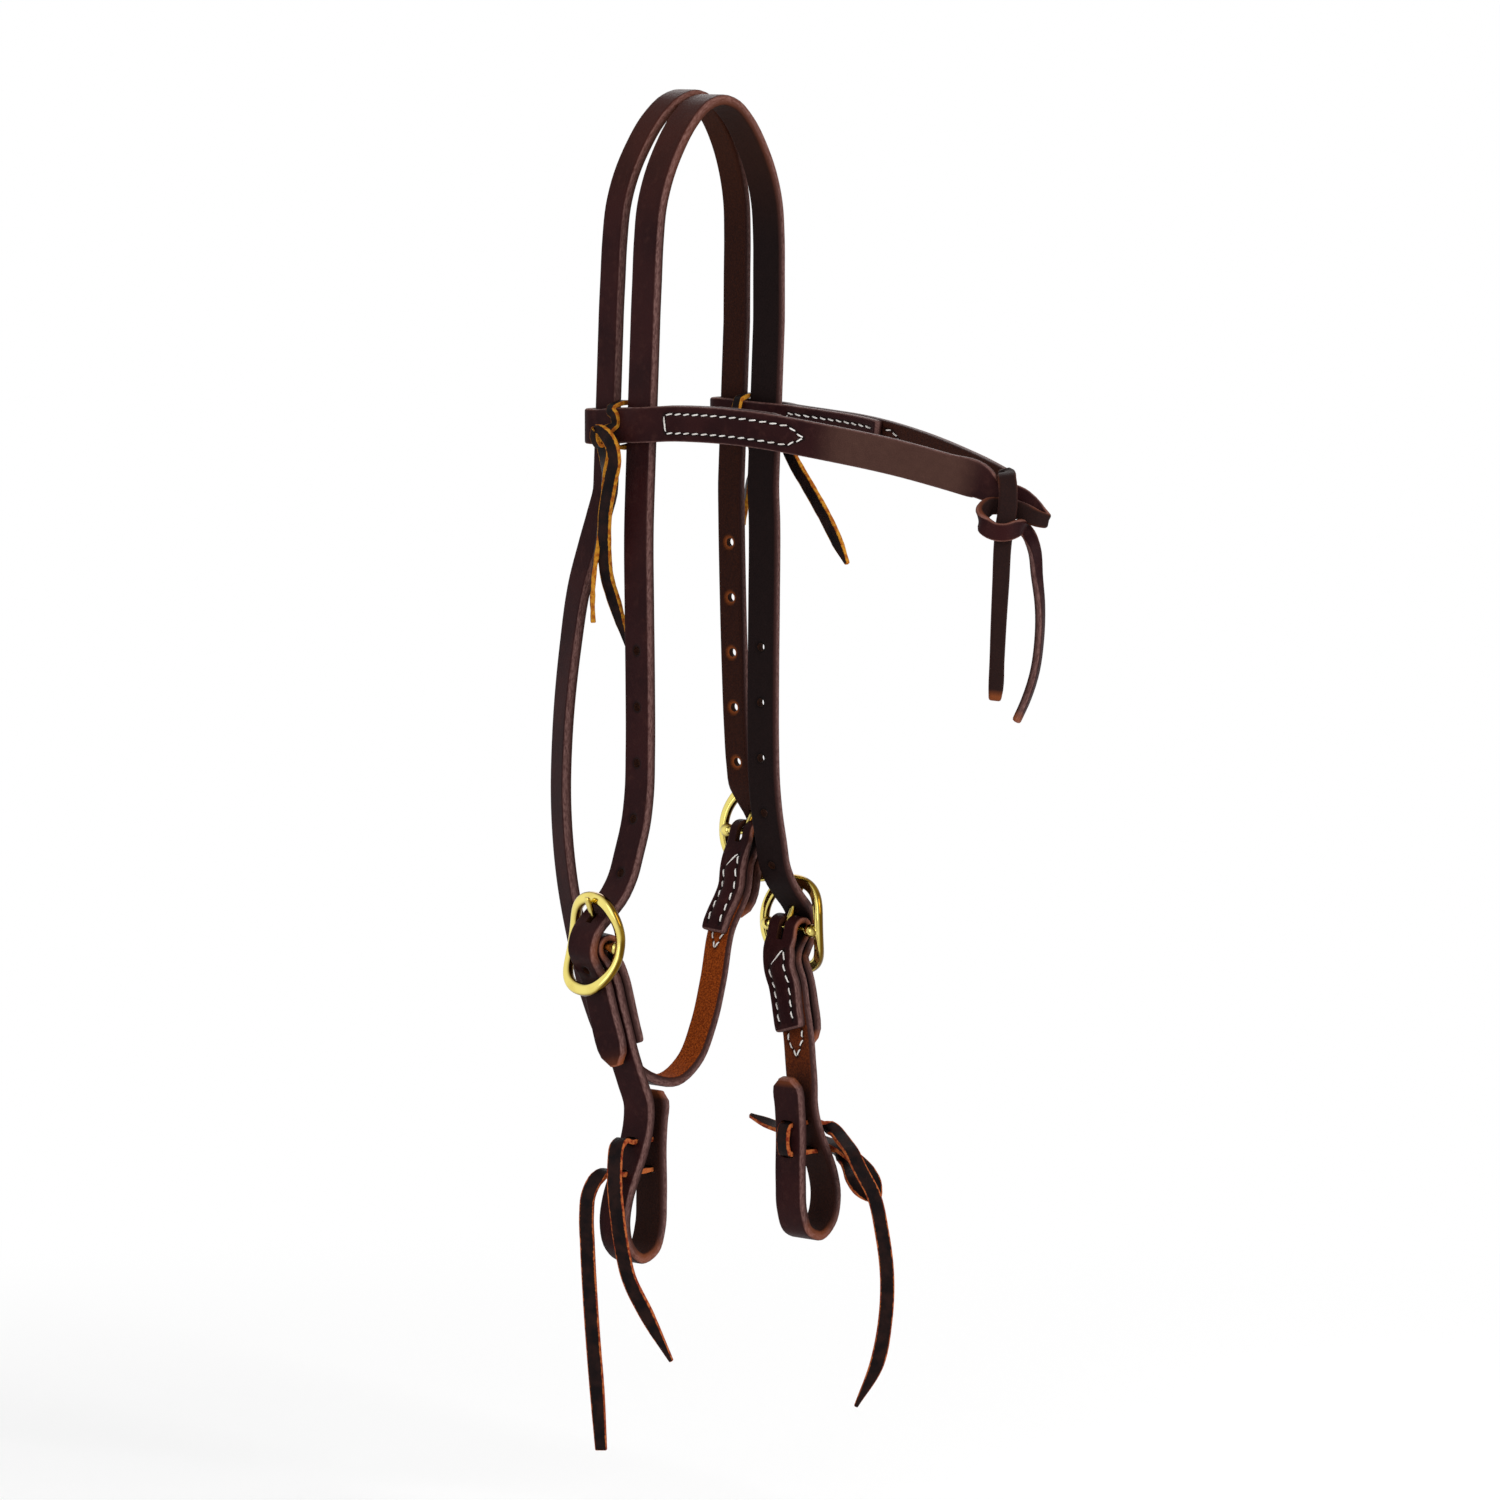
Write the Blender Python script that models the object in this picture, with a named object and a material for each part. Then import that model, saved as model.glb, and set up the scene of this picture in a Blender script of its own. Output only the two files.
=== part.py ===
"""A western headstall with a knotted browband, in dark harness leather with brass buckles.

Metres, +Z up. The horse's nose points along -Y and its right side is at -X. The origin is at
the poll, in the middle of the underside of the crown.
"""

import math

import bmesh
import bpy
import mathutils
import numpy as np

# Leather
STRAP_WIDTH = 0.0159
THROAT_WIDTH = 0.0130
STRAP_THICK = 0.0048
SKIVED_THICK = 0.0030
BAND_THICK = 0.0040
THONG_WIDTH = 0.0062
THONG_THICK = 0.0034
EDGE_ROUND = 0.0009
GAP = 0.0003
MM = 0.001

# The head that the straps go round
HEAD_HALF_WIDTH = 0.0406
ARCH_DROP = 0.1024
CROWN_LEAN = 0.0060
STRAIGHT_RUN = 0.0720
STRAIGHT_LEAN = 0.0034
FLARE_ANGLE = math.radians(4)
REAR_SETBACK_RIGHT = 0.0229
REAR_SETBACK_LEFT = 0.0188
CROWN_SPACING = 0.0155

# Brass buckles with a centre bar
FRAME_LENGTH = 0.0470
FRAME_WIDTH = 0.0360
FRAME_END_ROD = 0.0055
FRAME_SIDE_ROD = 0.0045
FRAME_THICK = 0.0040
FRAME_ARCH = 0.0050
BAR_RADIUS = 0.0020
BAR_BOSS_RADIUS = 0.0031
BAR_CLEARANCE = 0.0003
TONGUE_RADIUS = 0.0013
TONGUE_TIP_RADIUS = 0.0010
TONGUE_OVERHANG = 0.0022
TONGUE_SWING = math.radians(10)
TONGUE_CLEARANCE = 0.00045
TONGUE_CURL = math.radians(285)

# Cheek buckles and bit loops
BUCKLE_DROP = 0.3750
BUCKLE_BEYOND = 0.0239
BUCKLE_OUT = HEAD_HALF_WIDTH + BUCKLE_BEYOND
BUCKLE_BACK = 0.0045
LEFT_SINK = 0.0040
CHEEK_SWING = 0.0052
BUCKLE_TILT = math.radians(7.5)
BUCKLE_LEAN = math.radians(4.5)
CHEEK_LAP = 0.0480
CHEEK_SEAM = 0.0640
BILLET_TAIL = 0.0530
BIT_DROP = 0.5156
BIT_FORWARD = 0.0120
BIT_BEYOND = 0.0056
BIT_INNER_OUT = HEAD_HALF_WIDTH + BIT_BEYOND
BIT_LOOP_SPAN = 0.0238
BIT_LOOP_HEIGHT = 0.0680
LACE_HOLE_RISE = 0.0386
LACE_HOLE_PITCH = 0.0140
LACE_HOLE_CLEARANCE = 0.0006

# Throat strap
THROAT_DROP = 0.4450
THROAT_BACK = 0.0460
THROAT_TWIST = math.radians(19)
THROAT_BUCKLE_DROP = 0.3355
THROAT_BUCKLE_BEYOND = 0.0134
THROAT_BUCKLE_OUT = HEAD_HALF_WIDTH + THROAT_BUCKLE_BEYOND
THROAT_BUCKLE_BACK = 0.0205
THROAT_LAP = 0.0510
THROAT_SEAM = 0.0540
THROAT_TAIL = 0.0400

# Punched holes
HOLE_RADIUS = 0.0025
HOLE_PITCH = 0.0254
HOLES_ABOVE = 5
HOLES_BELOW = 1

# Browband
BAND_DROP = 0.1420
BAND_REACH = 0.1857
BAND_SAG = 0.0235
BAND_LAP = 0.0700
BAND_SEAM = 0.0760
BAND_CLEARANCE = 0.0006
KNOT_DROP = 0.0030
KNOT_ASIDE = 0.0043
KNOT_SIZE = 0.0100

# Laces
LACE_WIDTH = 0.0066
LACE_THICK = 0.0020
TIE_WIDTH = 0.0045
TIE_PINCHED_WIDTH = 0.0032
TIE_CLEARANCE = 0.0008

# Sewing
THREAD_RADIUS = 0.0003
SEAM_SPACING = 0.0084
SEAM_START = 0.0110
SEAM_POINT = 0.0080

LEATHER = ("harness_leather", (0.035, 0.014, 0.011), 0.42, 0.0)
LACE_LEATHER = ("lace_leather", (0.022, 0.013, 0.012), 0.55, 0.0)
BRASS = ("polished_brass", (0.80, 0.62, 0.22), 0.16, 1.0)
THREAD = ("white_thread", (0.80, 0.77, 0.72), 0.70, 0.0)

RIGHT, LEFT = -1, 1
rear_setback = {RIGHT: REAR_SETBACK_RIGHT, LEFT: REAR_SETBACK_LEFT}
BACK = np.array([0.0, 1.0, 0.0])
UP = np.array([0.0, 0.0, 1.0])

# How finely a curve is sampled between rows, and searched for its nearest point
SPAN_SAMPLES = 16
SEARCH_STEPS = 1500
# How far two rings of a sweep may stand apart: by length, by turning, and by the depth of the chord
MOST_STEP = 0.030
MOST_TURN = math.radians(20)
MOST_CHORD_DEPTH = 0.00012


def unit(v):
    return np.asarray(v, float) / np.linalg.norm(v)


def square_to(v, along):
    """v turned square to along, at length 1."""
    along = unit(along)
    return unit(v - along * (v @ along))


def row(point, across, width=STRAP_WIDTH, thick=STRAP_THICK):
    """A station of a strap: its centre, its width's direction, and half its width and thickness."""
    return np.array([*point, *across, width / 2, thick / 2])


def smooth(rows, samples=SPAN_SAMPLES):
    """A smooth curve through the rows, with every column eased alike."""
    rows = np.array(rows)
    spans = np.linalg.norm(np.diff(rows[:, :3], axis=0), axis=1)
    slopes = np.diff(rows, axis=0) / spans[:, None]
    inner = (slopes[:-1] * spans[1:, None] + slopes[1:] * spans[:-1, None]) / (
        spans[1:, None] + spans[:-1, None]
    )
    tangents = np.vstack([slopes[:1], inner, slopes[-1:]])
    t = np.linspace(0, 1, samples, endpoint=False)[:, None]
    pieces = [
        (1 + 2 * t) * (1 - t) ** 2 * a
        + t * (1 - t) ** 2 * s * da
        + t**2 * (3 - 2 * t) * b
        + t**2 * (t - 1) * s * db
        for a, b, s, da, db in zip(rows, rows[1:], spans, tangents, tangents[1:])
    ]
    return np.vstack([*pieces, rows[-1:]])


def thinned(samples):
    """The samples that keep the curve: closer together where it bends."""
    points = samples[:, :3]
    steps = np.diff(points, axis=0)
    lengths = np.linalg.norm(steps, axis=1)
    headings = steps / lengths[:, None]
    turns = np.arccos(np.clip((headings[:-1] * headings[1:]).sum(1), -1, 1))
    kept, length, turned = [0], 0.0, 0.0
    for i in range(1, len(points) - 1):
        length += lengths[i - 1]
        turned += turns[i - 1]
        ahead = length + lengths[i]
        if (
            ahead > MOST_STEP
            or turned > MOST_TURN
            or ahead * turned / 8 > MOST_CHORD_DEPTH
        ):
            kept.append(i)
            length, turned = 0.0, 0.0
    kept.append(len(points) - 1)
    return samples[kept]


class Route:
    """The line that a strap or rod follows, with its width and thickness at each ring."""

    def __init__(self, rows, closed=False):
        samples = smooth([*rows, rows[0]] if closed else rows)
        samples = thinned(samples)
        if closed:
            samples = samples[:-1]
        self.closed = closed
        self.points = samples[:, :3]
        if closed:
            ahead = np.roll(self.points, -1, 0) - np.roll(self.points, 1, 0)
        else:
            ahead = np.gradient(self.points, axis=0)
            edges = np.diff(self.points, axis=0)
            edges /= np.linalg.norm(edges, axis=1)[:, None]
            ahead[1:-1] = edges[1:] + edges[:-1]
        self.along = ahead / np.linalg.norm(ahead, axis=1)[:, None]
        self.across = np.array(
            [square_to(a, t) for a, t in zip(samples[:, 3:6], self.along)]
        )
        self.face = np.cross(self.along, self.across)
        self.half_width = samples[:, 6]
        self.half_thick = samples[:, 7]
        lengths = np.linalg.norm(np.diff(self.points, axis=0), axis=1)
        self.reach = np.concatenate([[0], np.cumsum(lengths)])
        self.length = self.reach[-1]

    def at(self, reach):
        """Centre, direction, width direction, face direction and half thickness at a length along it."""
        mix = [
            np.array([np.interp(reach, self.reach, column) for column in table.T])
            for table in (self.points, self.along, self.across, self.face)
        ]
        return (*mix, np.interp(reach, self.reach, self.half_thick))

    def nearest(self, point, first=0.0, last=None):
        """The length along it that lies nearest to a point."""
        steps = np.linspace(first, self.length if last is None else last, SEARCH_STEPS)
        line = np.stack(
            [np.interp(steps, self.reach, c) for c in self.points.T], axis=1
        )
        return steps[np.linalg.norm(line - point, axis=1).argmin()]


class Straight(Route):
    """A route that runs straight from row to row."""

    def __init__(self, rows):
        rows = np.array(rows)
        self.closed = False
        self.points = rows[:, :3]
        self.along = np.tile(unit(rows[-1, :3] - rows[0, :3]), (len(rows), 1))
        self.across = rows[:, 3:6]
        self.face = np.cross(self.along, self.across)
        self.half_width, self.half_thick = rows[:, 6], rows[:, 7]


def material_of(finish):
    name, colour, roughness, metallic = finish
    found = bpy.data.materials.get(name)
    if found:
        return found
    made = bpy.data.materials.new(name)
    made.use_nodes = True
    made.diffuse_color = (*colour, 1)
    shader = made.node_tree.nodes["Principled BSDF"]
    shader.inputs["Base Color"].default_value = (*colour, 1)
    shader.inputs["Roughness"].default_value = roughness
    shader.inputs["Metallic"].default_value = metallic
    return made


def object_from(name, bm, finish=None):
    """A closed mesh made into an object, with its faces turned out."""
    bmesh.ops.recalc_face_normals(bm, faces=bm.faces)
    mesh = bpy.data.meshes.new(name)
    bm.to_mesh(mesh)
    bm.free()
    mesh.shade_smooth()
    mesh.set_sharp_from_angle(angle=math.radians(35))
    made = bpy.data.objects.new(name, mesh)
    bpy.context.scene.collection.objects.link(made)
    if finish:
        mesh.materials.append(material_of(finish))
    else:
        made.hide_render = True
        made.display_type = "WIRE"
    return made


def section(half_width, half_thick, edge):
    """A flat bar's outline with its four edges cut, or a round rod's where edge is large."""
    cut = min(edge, ROUND_SHARE * half_width, ROUND_SHARE * half_thick)
    w, t = half_width, half_thick
    return (
        (w, cut - t),
        (w, t - cut),
        (w - cut, t),
        (cut - w, t),
        (-w, t - cut),
        (-w, cut - t),
        (cut - w, -t),
        (w - cut, -t),
    )


ROUND_SHARE = 2 - math.sqrt(2)


def swept(name, route, finish, edge=EDGE_ROUND, square=False):
    """A bar of changing width and thickness along a route. A square one has four sides."""
    bm = bmesh.new()
    rings = []
    for p, a, f, w, t in zip(
        route.points, route.across, route.face, route.half_width, route.half_thick
    ):
        outline = ((w, -t), (w, t), (-w, t), (-w, -t)) if square else section(w, t, edge)
        rings.append([bm.verts.new(p + a * x + f * y) for x, y in outline])
    pairs = list(zip(rings, rings[1:]))
    if route.closed:
        pairs.append((rings[-1], rings[0]))
    else:
        bm.faces.new(rings[0][::-1])
        bm.faces.new(rings[-1])
    for lower, upper in pairs:
        n = len(lower)
        for i in range(n):
            bm.faces.new((lower[i], lower[(i + 1) % n], upper[(i + 1) % n], upper[i]))
    return object_from(name, bm, finish)


def add_boolean(target, other, operation):
    modifier = target.modifiers.new(other.name, "BOOLEAN")
    modifier.operation = operation
    modifier.object = other
    modifier.solver = "EXACT"


class Seat:
    """A rigid place on a strap: its centre, and the directions up, back and out from the head."""

    def __init__(self, side, centre, tilt=0.0, lean=0.0, swing=0.0, flare=FLARE_ANGLE):
        self.side = side
        self.swing = swing
        self.centre = np.array(centre, float)
        self.up = unit([-side * math.tan(tilt), -math.tan(lean), 1])
        self.back = square_to(flared(side, flare), self.up)
        self.out = side * np.cross(self.back, self.up)

    def at(self, up, out, back=0.0):
        return self.centre + self.up * up + self.out * out + self.back * back

    def prism(self, name, outline, half_depth):
        """A cutter: an outline of (up, out) points made solid across the strap's width."""
        bm = bmesh.new()
        near = [bm.verts.new(self.at(u, o, -half_depth)) for u, o in outline]
        far = [bm.verts.new(self.at(u, o, half_depth)) for u, o in outline]
        bm.faces.new(near)
        bm.faces.new(far[::-1])
        n = len(outline)
        for i in range(n):
            bm.faces.new((near[i], far[i], far[(i + 1) % n], near[(i + 1) % n]))
        return object_from(name, bm)


def flared(side, angle=FLARE_ANGLE):
    """The direction of a side strap's width, which turns in towards the back of the head."""
    return np.array([-side * math.sin(angle), math.cos(angle), 0])


# Buckles

FOLD_RADIUS = BAR_RADIUS + BAR_CLEARANCE + SKIVED_THICK / 2
END_AXIS = (FRAME_LENGTH - FRAME_END_ROD) / 2
SIDE_AXIS = (FRAME_WIDTH - FRAME_SIDE_ROD) / 2
HUMP_OUT = FOLD_RADIUS + SKIVED_THICK / 2 + GAP + STRAP_THICK / 2
SEAM_GAP = 2 * (GAP + THREAD_RADIUS)


def buckle_frame(name, seat):
    """An oval ring, bowed out at both ends, with a bar across its middle."""
    sides = 36
    ring = []
    for i in range(sides):
        a = 2 * math.pi * i / sides
        end = math.cos(a) ** 2
        rod = FRAME_SIDE_ROD + (FRAME_END_ROD - FRAME_SIDE_ROD) * end
        bow = FRAME_ARCH * (1 - math.sin(a) ** 4)
        centre = seat.at(END_AXIS * math.cos(a), bow, SIDE_AXIS * math.sin(a))
        radial = seat.up * math.cos(a) / END_AXIS + seat.back * math.sin(a) / SIDE_AXIS
        ring.append(row(centre, unit(radial), rod, FRAME_THICK))
    frame = swept(name, Route(ring, closed=True), BRASS, edge=FRAME_THICK)
    half = STRAP_WIDTH / 2
    boss = SIDE_AXIS - half
    shape = (
        (-SIDE_AXIS, BAR_BOSS_RADIUS),
        (-half - boss / 2, BAR_BOSS_RADIUS),
        (-half - boss / 4, BAR_RADIUS),
        (half + boss / 4, BAR_RADIUS),
        (half + boss / 2, BAR_BOSS_RADIUS),
        (SIDE_AXIS, BAR_BOSS_RADIUS),
    )
    bar_rows = [row(seat.at(0, 0, w), seat.up, 2 * r, 2 * r) for w, r in shape]
    bar = swept(name + "_bar", Straight(bar_rows), None, edge=2 * BAR_BOSS_RADIUS)
    add_boolean(frame, bar, "UNION")


def tongue_line():
    """The tongue's curl radius, its heading, and its ends, as (up, out) points.

    It leaves the curl on the inner side of the bar and just clears the frame's upper end.
    """
    curl = BAR_RADIUS + BAR_CLEARANCE + TONGUE_RADIUS
    cut = ROUND_SHARE * FRAME_THICK / 2
    corner = np.array([END_AXIS - FRAME_END_ROD / 2 + cut, FRAME_ARCH + FRAME_THICK / 2])
    far = np.linalg.norm(corner)
    heading = math.atan2(corner[1], corner[0]) + math.asin((curl + TONGUE_RADIUS + GAP) / far)
    ahead = np.array([math.cos(heading), math.sin(heading)])
    leave = curl * np.array([ahead[1], -ahead[0]])
    tip = leave + ahead * (corner @ ahead + TONGUE_OVERHANG)
    return curl, heading, leave, tip


# Where rows hold the tongue's straight part, as shares of its length
tongue_shares = (0.25, 0.6, 0.9, 1)


def buckle_tongue(name, seat):
    """A brass rod curled round the bar, then straight to its tip over the frame's upper end."""
    curl, heading, leave, tip = tongue_line()
    turns = 12
    stations = []
    for i in range(turns + 1):
        a = heading - math.pi / 2 - TONGUE_CURL * (1 - i / turns)
        stations.append((curl * math.cos(a), curl * math.sin(a), TONGUE_RADIUS))
    for share in tongue_shares:
        u, o = leave + (tip - leave) * share
        stations.append((u, o, TONGUE_RADIUS + (TONGUE_TIP_RADIUS - TONGUE_RADIUS) * share))
    rows = [row(seat.at(u, o), seat.back, 2 * r, 2 * r) for u, o, r in stations]
    tongue = swept(name, Route(rows), BRASS, edge=2 * TONGUE_RADIUS)
    recentre(tongue, seat.centre)


def recentre(thing, centre):
    """Moves an object's origin to a centre and leaves its mesh where it is."""
    thing.data.transform(mathutils.Matrix.Translation(-mathutils.Vector(centre)))
    thing.location = centre


def turned(point, angle):
    c, s = math.cos(angle), math.sin(angle)
    return np.array([c * point[0] - s * point[1], s * point[0] + c * point[1]])


def tongue_slot(name, seat):
    """The room that a swinging tongue needs in the billet it holds."""
    _, _, leave, tip = tongue_line()
    ahead = unit(tip - leave)
    aside = np.array([-ahead[1], ahead[0]]) * (TONGUE_RADIUS + TONGUE_CLEARANCE)
    first, last = leave + ahead * FOLD_RADIUS, tip
    outline = (
        first - aside,
        last - aside,
        turned(last + aside, TONGUE_SWING),
        turned(first + aside, TONGUE_SWING),
    )
    return seat.prism(name, outline, TONGUE_RADIUS + TONGUE_CLEARANCE)


def fold_slot(name, seat):
    """The slot in the fold round the bar, where the tongue's curl sits."""
    long = BAR_RADIUS + BAR_CLEARANCE + 2 * TONGUE_RADIUS + TONGUE_CLEARANCE
    inner, outer = FOLD_RADIUS + SKIVED_THICK, HUMP_OUT - STRAP_THICK / 2 - GAP / 2
    outline = (
        (-long, -inner),
        (long + SKIVED_THICK, -inner),
        (long + SKIVED_THICK, 0),
        (long, outer),
        (-long, outer),
    )
    return seat.prism(name, outline, TONGUE_RADIUS + TONGUE_CLEARANCE)


# The main layer under the bar, as shares of half the frame's length down and of the hump's height
# out, how much of its full thickness it has regained, and how much of the seat's swing forward
drape_shares = (
    (-0.130, 0.39, 0.0, 0.0),
    (-0.313, -0.125, 0.3, 0.0),
    (-0.506, -0.59, 0.6, 0.08),
    (-0.675, -0.865, 0.9, 0.26),
    (-0.867, -0.99, 1.0, 0.55),
    (-1.11, -1.065, 1.0, 1.0),
)
# The folded layer's first stretch under the bar, in the same shares
tuck_shares = ((-0.164, -0.61, 0.2, 0.0), (-0.357, -1.06, 0.6, 0.0))
# The billet above the bar, in the same shares
climb_shares = (
    (1.05, -0.74),
    (0.843, -0.34),
    (0.65, 0.075),
    (0.458, 0.51),
    (0.24, 0.87),
    (0, 1),
    (-0.18, 0.95),
)


def drape_rows(seat, shares=drape_shares):
    """The main layer's rows under the bar of a buckle, from its fold down."""
    rows = []
    for down, out, grown, swung in shares:
        thick = SKIVED_THICK + (STRAP_THICK - SKIVED_THICK) * grown
        point = seat.at(down * END_AXIS, out * HUMP_OUT, -swung * seat.swing)
        rows.append(row(point, seat.back, thick=thick))
    return rows


def fold_rows(seat):
    """Rows round the bar, from the inner side over the top to the outer side."""
    steps = 6
    rows = []
    for i in range(steps + 1):
        a = math.pi * (i / steps - 0.5)
        point = seat.at(FOLD_RADIUS * math.cos(a), FOLD_RADIUS * math.sin(a))
        rows.append(row(point, seat.back, thick=SKIVED_THICK))
    return rows


def beside(route, reach, toward, gap, width, thick):
    """A row of the layer that lies on one face of a route, on the side that toward points to."""
    point, _, across, face, half = route.at(reach)
    face = face * np.sign(face @ toward)
    return row(point + face * (half + gap + thick / 2), across, width, thick)


# Rounded ends: how far from the end, as shares of the width, and how wide there
billet_tip_shares = ((0.62, 1), (0.30, 0.90), (0.10, 0.66), (0, 0.38))
blunt_tip_shares = ((0.35, 1), (0.12, 0.82), (0, 0.55))
lace_tip_shares = ((1.6, 1), (0.7, 0.7), (0, 0.25))


def layer_to_end(layer_at, first, end, tip_shares):
    """Rows along a layer from its first length to its rounded end."""
    rows = [layer_at(reach) for reach in np.linspace(first, end - STRAP_WIDTH, 6)]
    for back, wide in tip_shares:
        made = layer_at(end - back * STRAP_WIDTH)
        made[6] *= wide
        rows.append(made)
    return rows


class SewnEnd:
    """A strap's end folded round a buckle's bar and sewn, with the billet that lies on it.

    lower holds the main layer's rows below the drape. The folded layer ends lap below the bar and
    the billet's tail ends tail below it.
    """

    def __init__(self, seat, lower, lap, tail):
        self.seat = seat
        drape = drape_rows(seat)
        core = Route([*fold_rows(seat)[-1:], *drape, *lower])

        def inner_at(reach):
            return beside(core, reach, -seat.out, GAP, STRAP_WIDTH, STRAP_THICK)

        def outer_at(reach):
            return beside(core, reach, seat.out, SEAM_GAP, STRAP_WIDTH, STRAP_THICK)

        self.fold = [*fold_rows(seat), *drape]
        self.folded = layer_to_end(inner_at, core.nearest(drape[3][:3]), lap, blunt_tip_shares)[::-1]
        self.folded += drape_rows(seat, tuck_shares)[::-1]
        self.billet = [row(seat.at(u * END_AXIS, o * HUMP_OUT), seat.back) for u, o in climb_shares]
        first = core.nearest(drape[1][:3])
        self.billet += layer_to_end(outer_at, first, tail, billet_tip_shares)


def hole_cutter(name, places):
    """Round cutters through a strap, one at each place, as one object."""
    bm = bmesh.new()
    sides = 12
    for point, face, along in places:
        rings = []
        across = np.cross(face, along)
        for end in (-STRAP_THICK, STRAP_THICK):
            rings.append(
                [
                    bm.verts.new(
                        point
                        + face * end
                        + HOLE_RADIUS
                        * (
                            along * math.cos(2 * math.pi * i / sides)
                            + across * math.sin(2 * math.pi * i / sides)
                        )
                    )
                    for i in range(sides)
                ]
            )
        bm.faces.new(rings[0])
        bm.faces.new(rings[1][::-1])
        for i in range(sides):
            j = (i + 1) % sides
            bm.faces.new((rings[0][j], rings[0][i], rings[1][i], rings[1][j]))
    return object_from(name, bm)


# Where a tongue passes through its billet, as a share of its length
crossing_share = 0.6


def punched(strap, route, seat, first, last):
    """Cuts the tongue's slot and the row of round holes into a billet."""
    _, _, leave, tip = tongue_line()
    crossing = leave + (tip - leave) * crossing_share
    at = route.nearest(seat.at(*crossing), first, last)
    toward = 1 if at > (first + last) / 2 else -1
    numbers = [n for n in range(-HOLES_BELOW, HOLES_ABOVE + 1) if n]
    places = []
    for n in numbers:
        point, along, _, face, _ = route.at(at - toward * n * HOLE_PITCH)
        places.append((point, unit(face), unit(along)))
    add_boolean(strap, hole_cutter(strap.name + "_holes_" + str(seat.side), places), "DIFFERENCE")
    slot = tongue_slot(strap.name + "_slot_" + str(seat.side), seat)
    add_boolean(strap, slot, "DIFFERENCE")


# The crown and the straight side straps

# Out as a share of half the head's width, down as a share of the arch's drop, how much of the
# crown's lean is left, and how much of the rear strap's setback is reached
arch_shares = (
    (0.24, 0.026, 0.97, 0.00),
    (0.44, 0.092, 0.90, 0.10),
    (0.68, 0.222, 0.77, 0.30),
    (0.825, 0.335, 0.67, 0.55),
    (0.925, 0.460, 0.55, 0.75),
    (0.97, 0.620, 0.41, 0.90),
    (0.985, 0.790, 0.23, 0.97),
    (0.997, 0.940, 0.06, 1.00),
)
SLIDE_AXIS = unit([0, -STRAIGHT_LEAN, STRAIGHT_RUN])
CROWN_TOP = STRAP_THICK / 2
STRAIGHT_TOP = CROWN_TOP - ARCH_DROP
STRAIGHT_END = STRAIGHT_TOP - STRAIGHT_RUN
# Where rows hold the straight run, as shares of its length from its top
straight_shares = (0, 0.06, 0.5, 0.94, 1)


def on_straight(side, z, setback, out=0.0):
    """A point on the plane of the side straps' straight runs, or out from it."""
    top = np.array([side * HEAD_HALF_WIDTH, -STRAIGHT_LEAN, STRAIGHT_TOP])
    down = SLIDE_AXIS * (z - STRAIGHT_TOP) / SLIDE_AXIS[2]
    return top + down + flared(side) * setback + side * np.cross(flared(side), SLIDE_AXIS) * out


def crown_rows(side, rear):
    """One side of a crown strap, from just beside the top down to the end of the straight run."""
    rows = []
    for out, down, lean, set_share in arch_shares:
        setback = rear * (CROWN_SPACING + (rear_setback[side] - CROWN_SPACING) * set_share)
        across = flared(side, FLARE_ANGLE * set_share)
        y = -STRAIGHT_LEAN - (CROWN_LEAN - STRAIGHT_LEAN) * lean
        point = np.array([side * HEAD_HALF_WIDTH * out, y, CROWN_TOP - ARCH_DROP * down])
        rows.append(row(point + across * setback, across))
    for share in straight_shares:
        z = STRAIGHT_TOP - STRAIGHT_RUN * share
        rows.append(row(on_straight(side, z, rear * rear_setback[side]), flared(side)))
    return rows


def crown_top(rear):
    return row([0, rear * CROWN_SPACING - CROWN_LEAN, CROWN_TOP], BACK)


# Cheeks

cheek_sink = {RIGHT: 0.0, LEFT: LEFT_SINK}


def cheek_seat(side):
    centre = (side * BUCKLE_OUT, BUCKLE_BACK, -BUCKLE_DROP - cheek_sink[side])
    return Seat(side, centre, BUCKLE_TILT, BUCKLE_LEAN, CHEEK_SWING)


# The cheek billet from the straight run to the buckle: down as a share of that drop, and out and
# back as shares of the way from the side of the head to the buckle
cheek_fall_shares = (
    (0.09, 0.03, 0),
    (0.26, 0.02, 0),
    (0.43, 0.0, 0),
    (0.58, 0.0, 0),
    (0.67, 0.03, 0),
    (0.74, 0.12, 0.05),
    (0.80, 0.26, 0.2),
    (0.86, 0.42, 0.42),
)
# The cheek piece from the buckle to the bit loop: down as a share of the bar's height above the
# loop's bottom, out as a share of the buckle's, and forward as a share of the bit end's
cheek_piece_shares = ((0.263, 0.915, 0.23), (0.356, 0.897, 0.525), (0.441, 0.865, 0.79))
# The bit loop: out as a share of its span, and up as a share of its height
bit_loop_shares = (
    (0.336, 1.0),
    (0.336, 0.93),
    (0.395, 0.815),
    (0.517, 0.70),
    (0.727, 0.553),
    (0.916, 0.406),
    (1.0, 0.24),
    (0.885, 0.085),
    (0.56, 0.0),
    (0.20, 0.045),
    (0.035, 0.185),
    (0.0, 0.376),
    (0.0, 0.78),
    (-0.03, 0.90),
)
# The loop's tip: out and up as before, and how wide there
bit_tip_shares = ((-0.07, 1.0, 1), (-0.09, 1.045, 0.86), (-0.11, 1.075, 0.52))


def bit_point(side, out, up):
    x = side * (BIT_INNER_OUT + BIT_LOOP_SPAN * out)
    return np.array([x, -BIT_FORWARD, -BIT_DROP - cheek_sink[side] + BIT_LOOP_HEIGHT * up])


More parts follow.
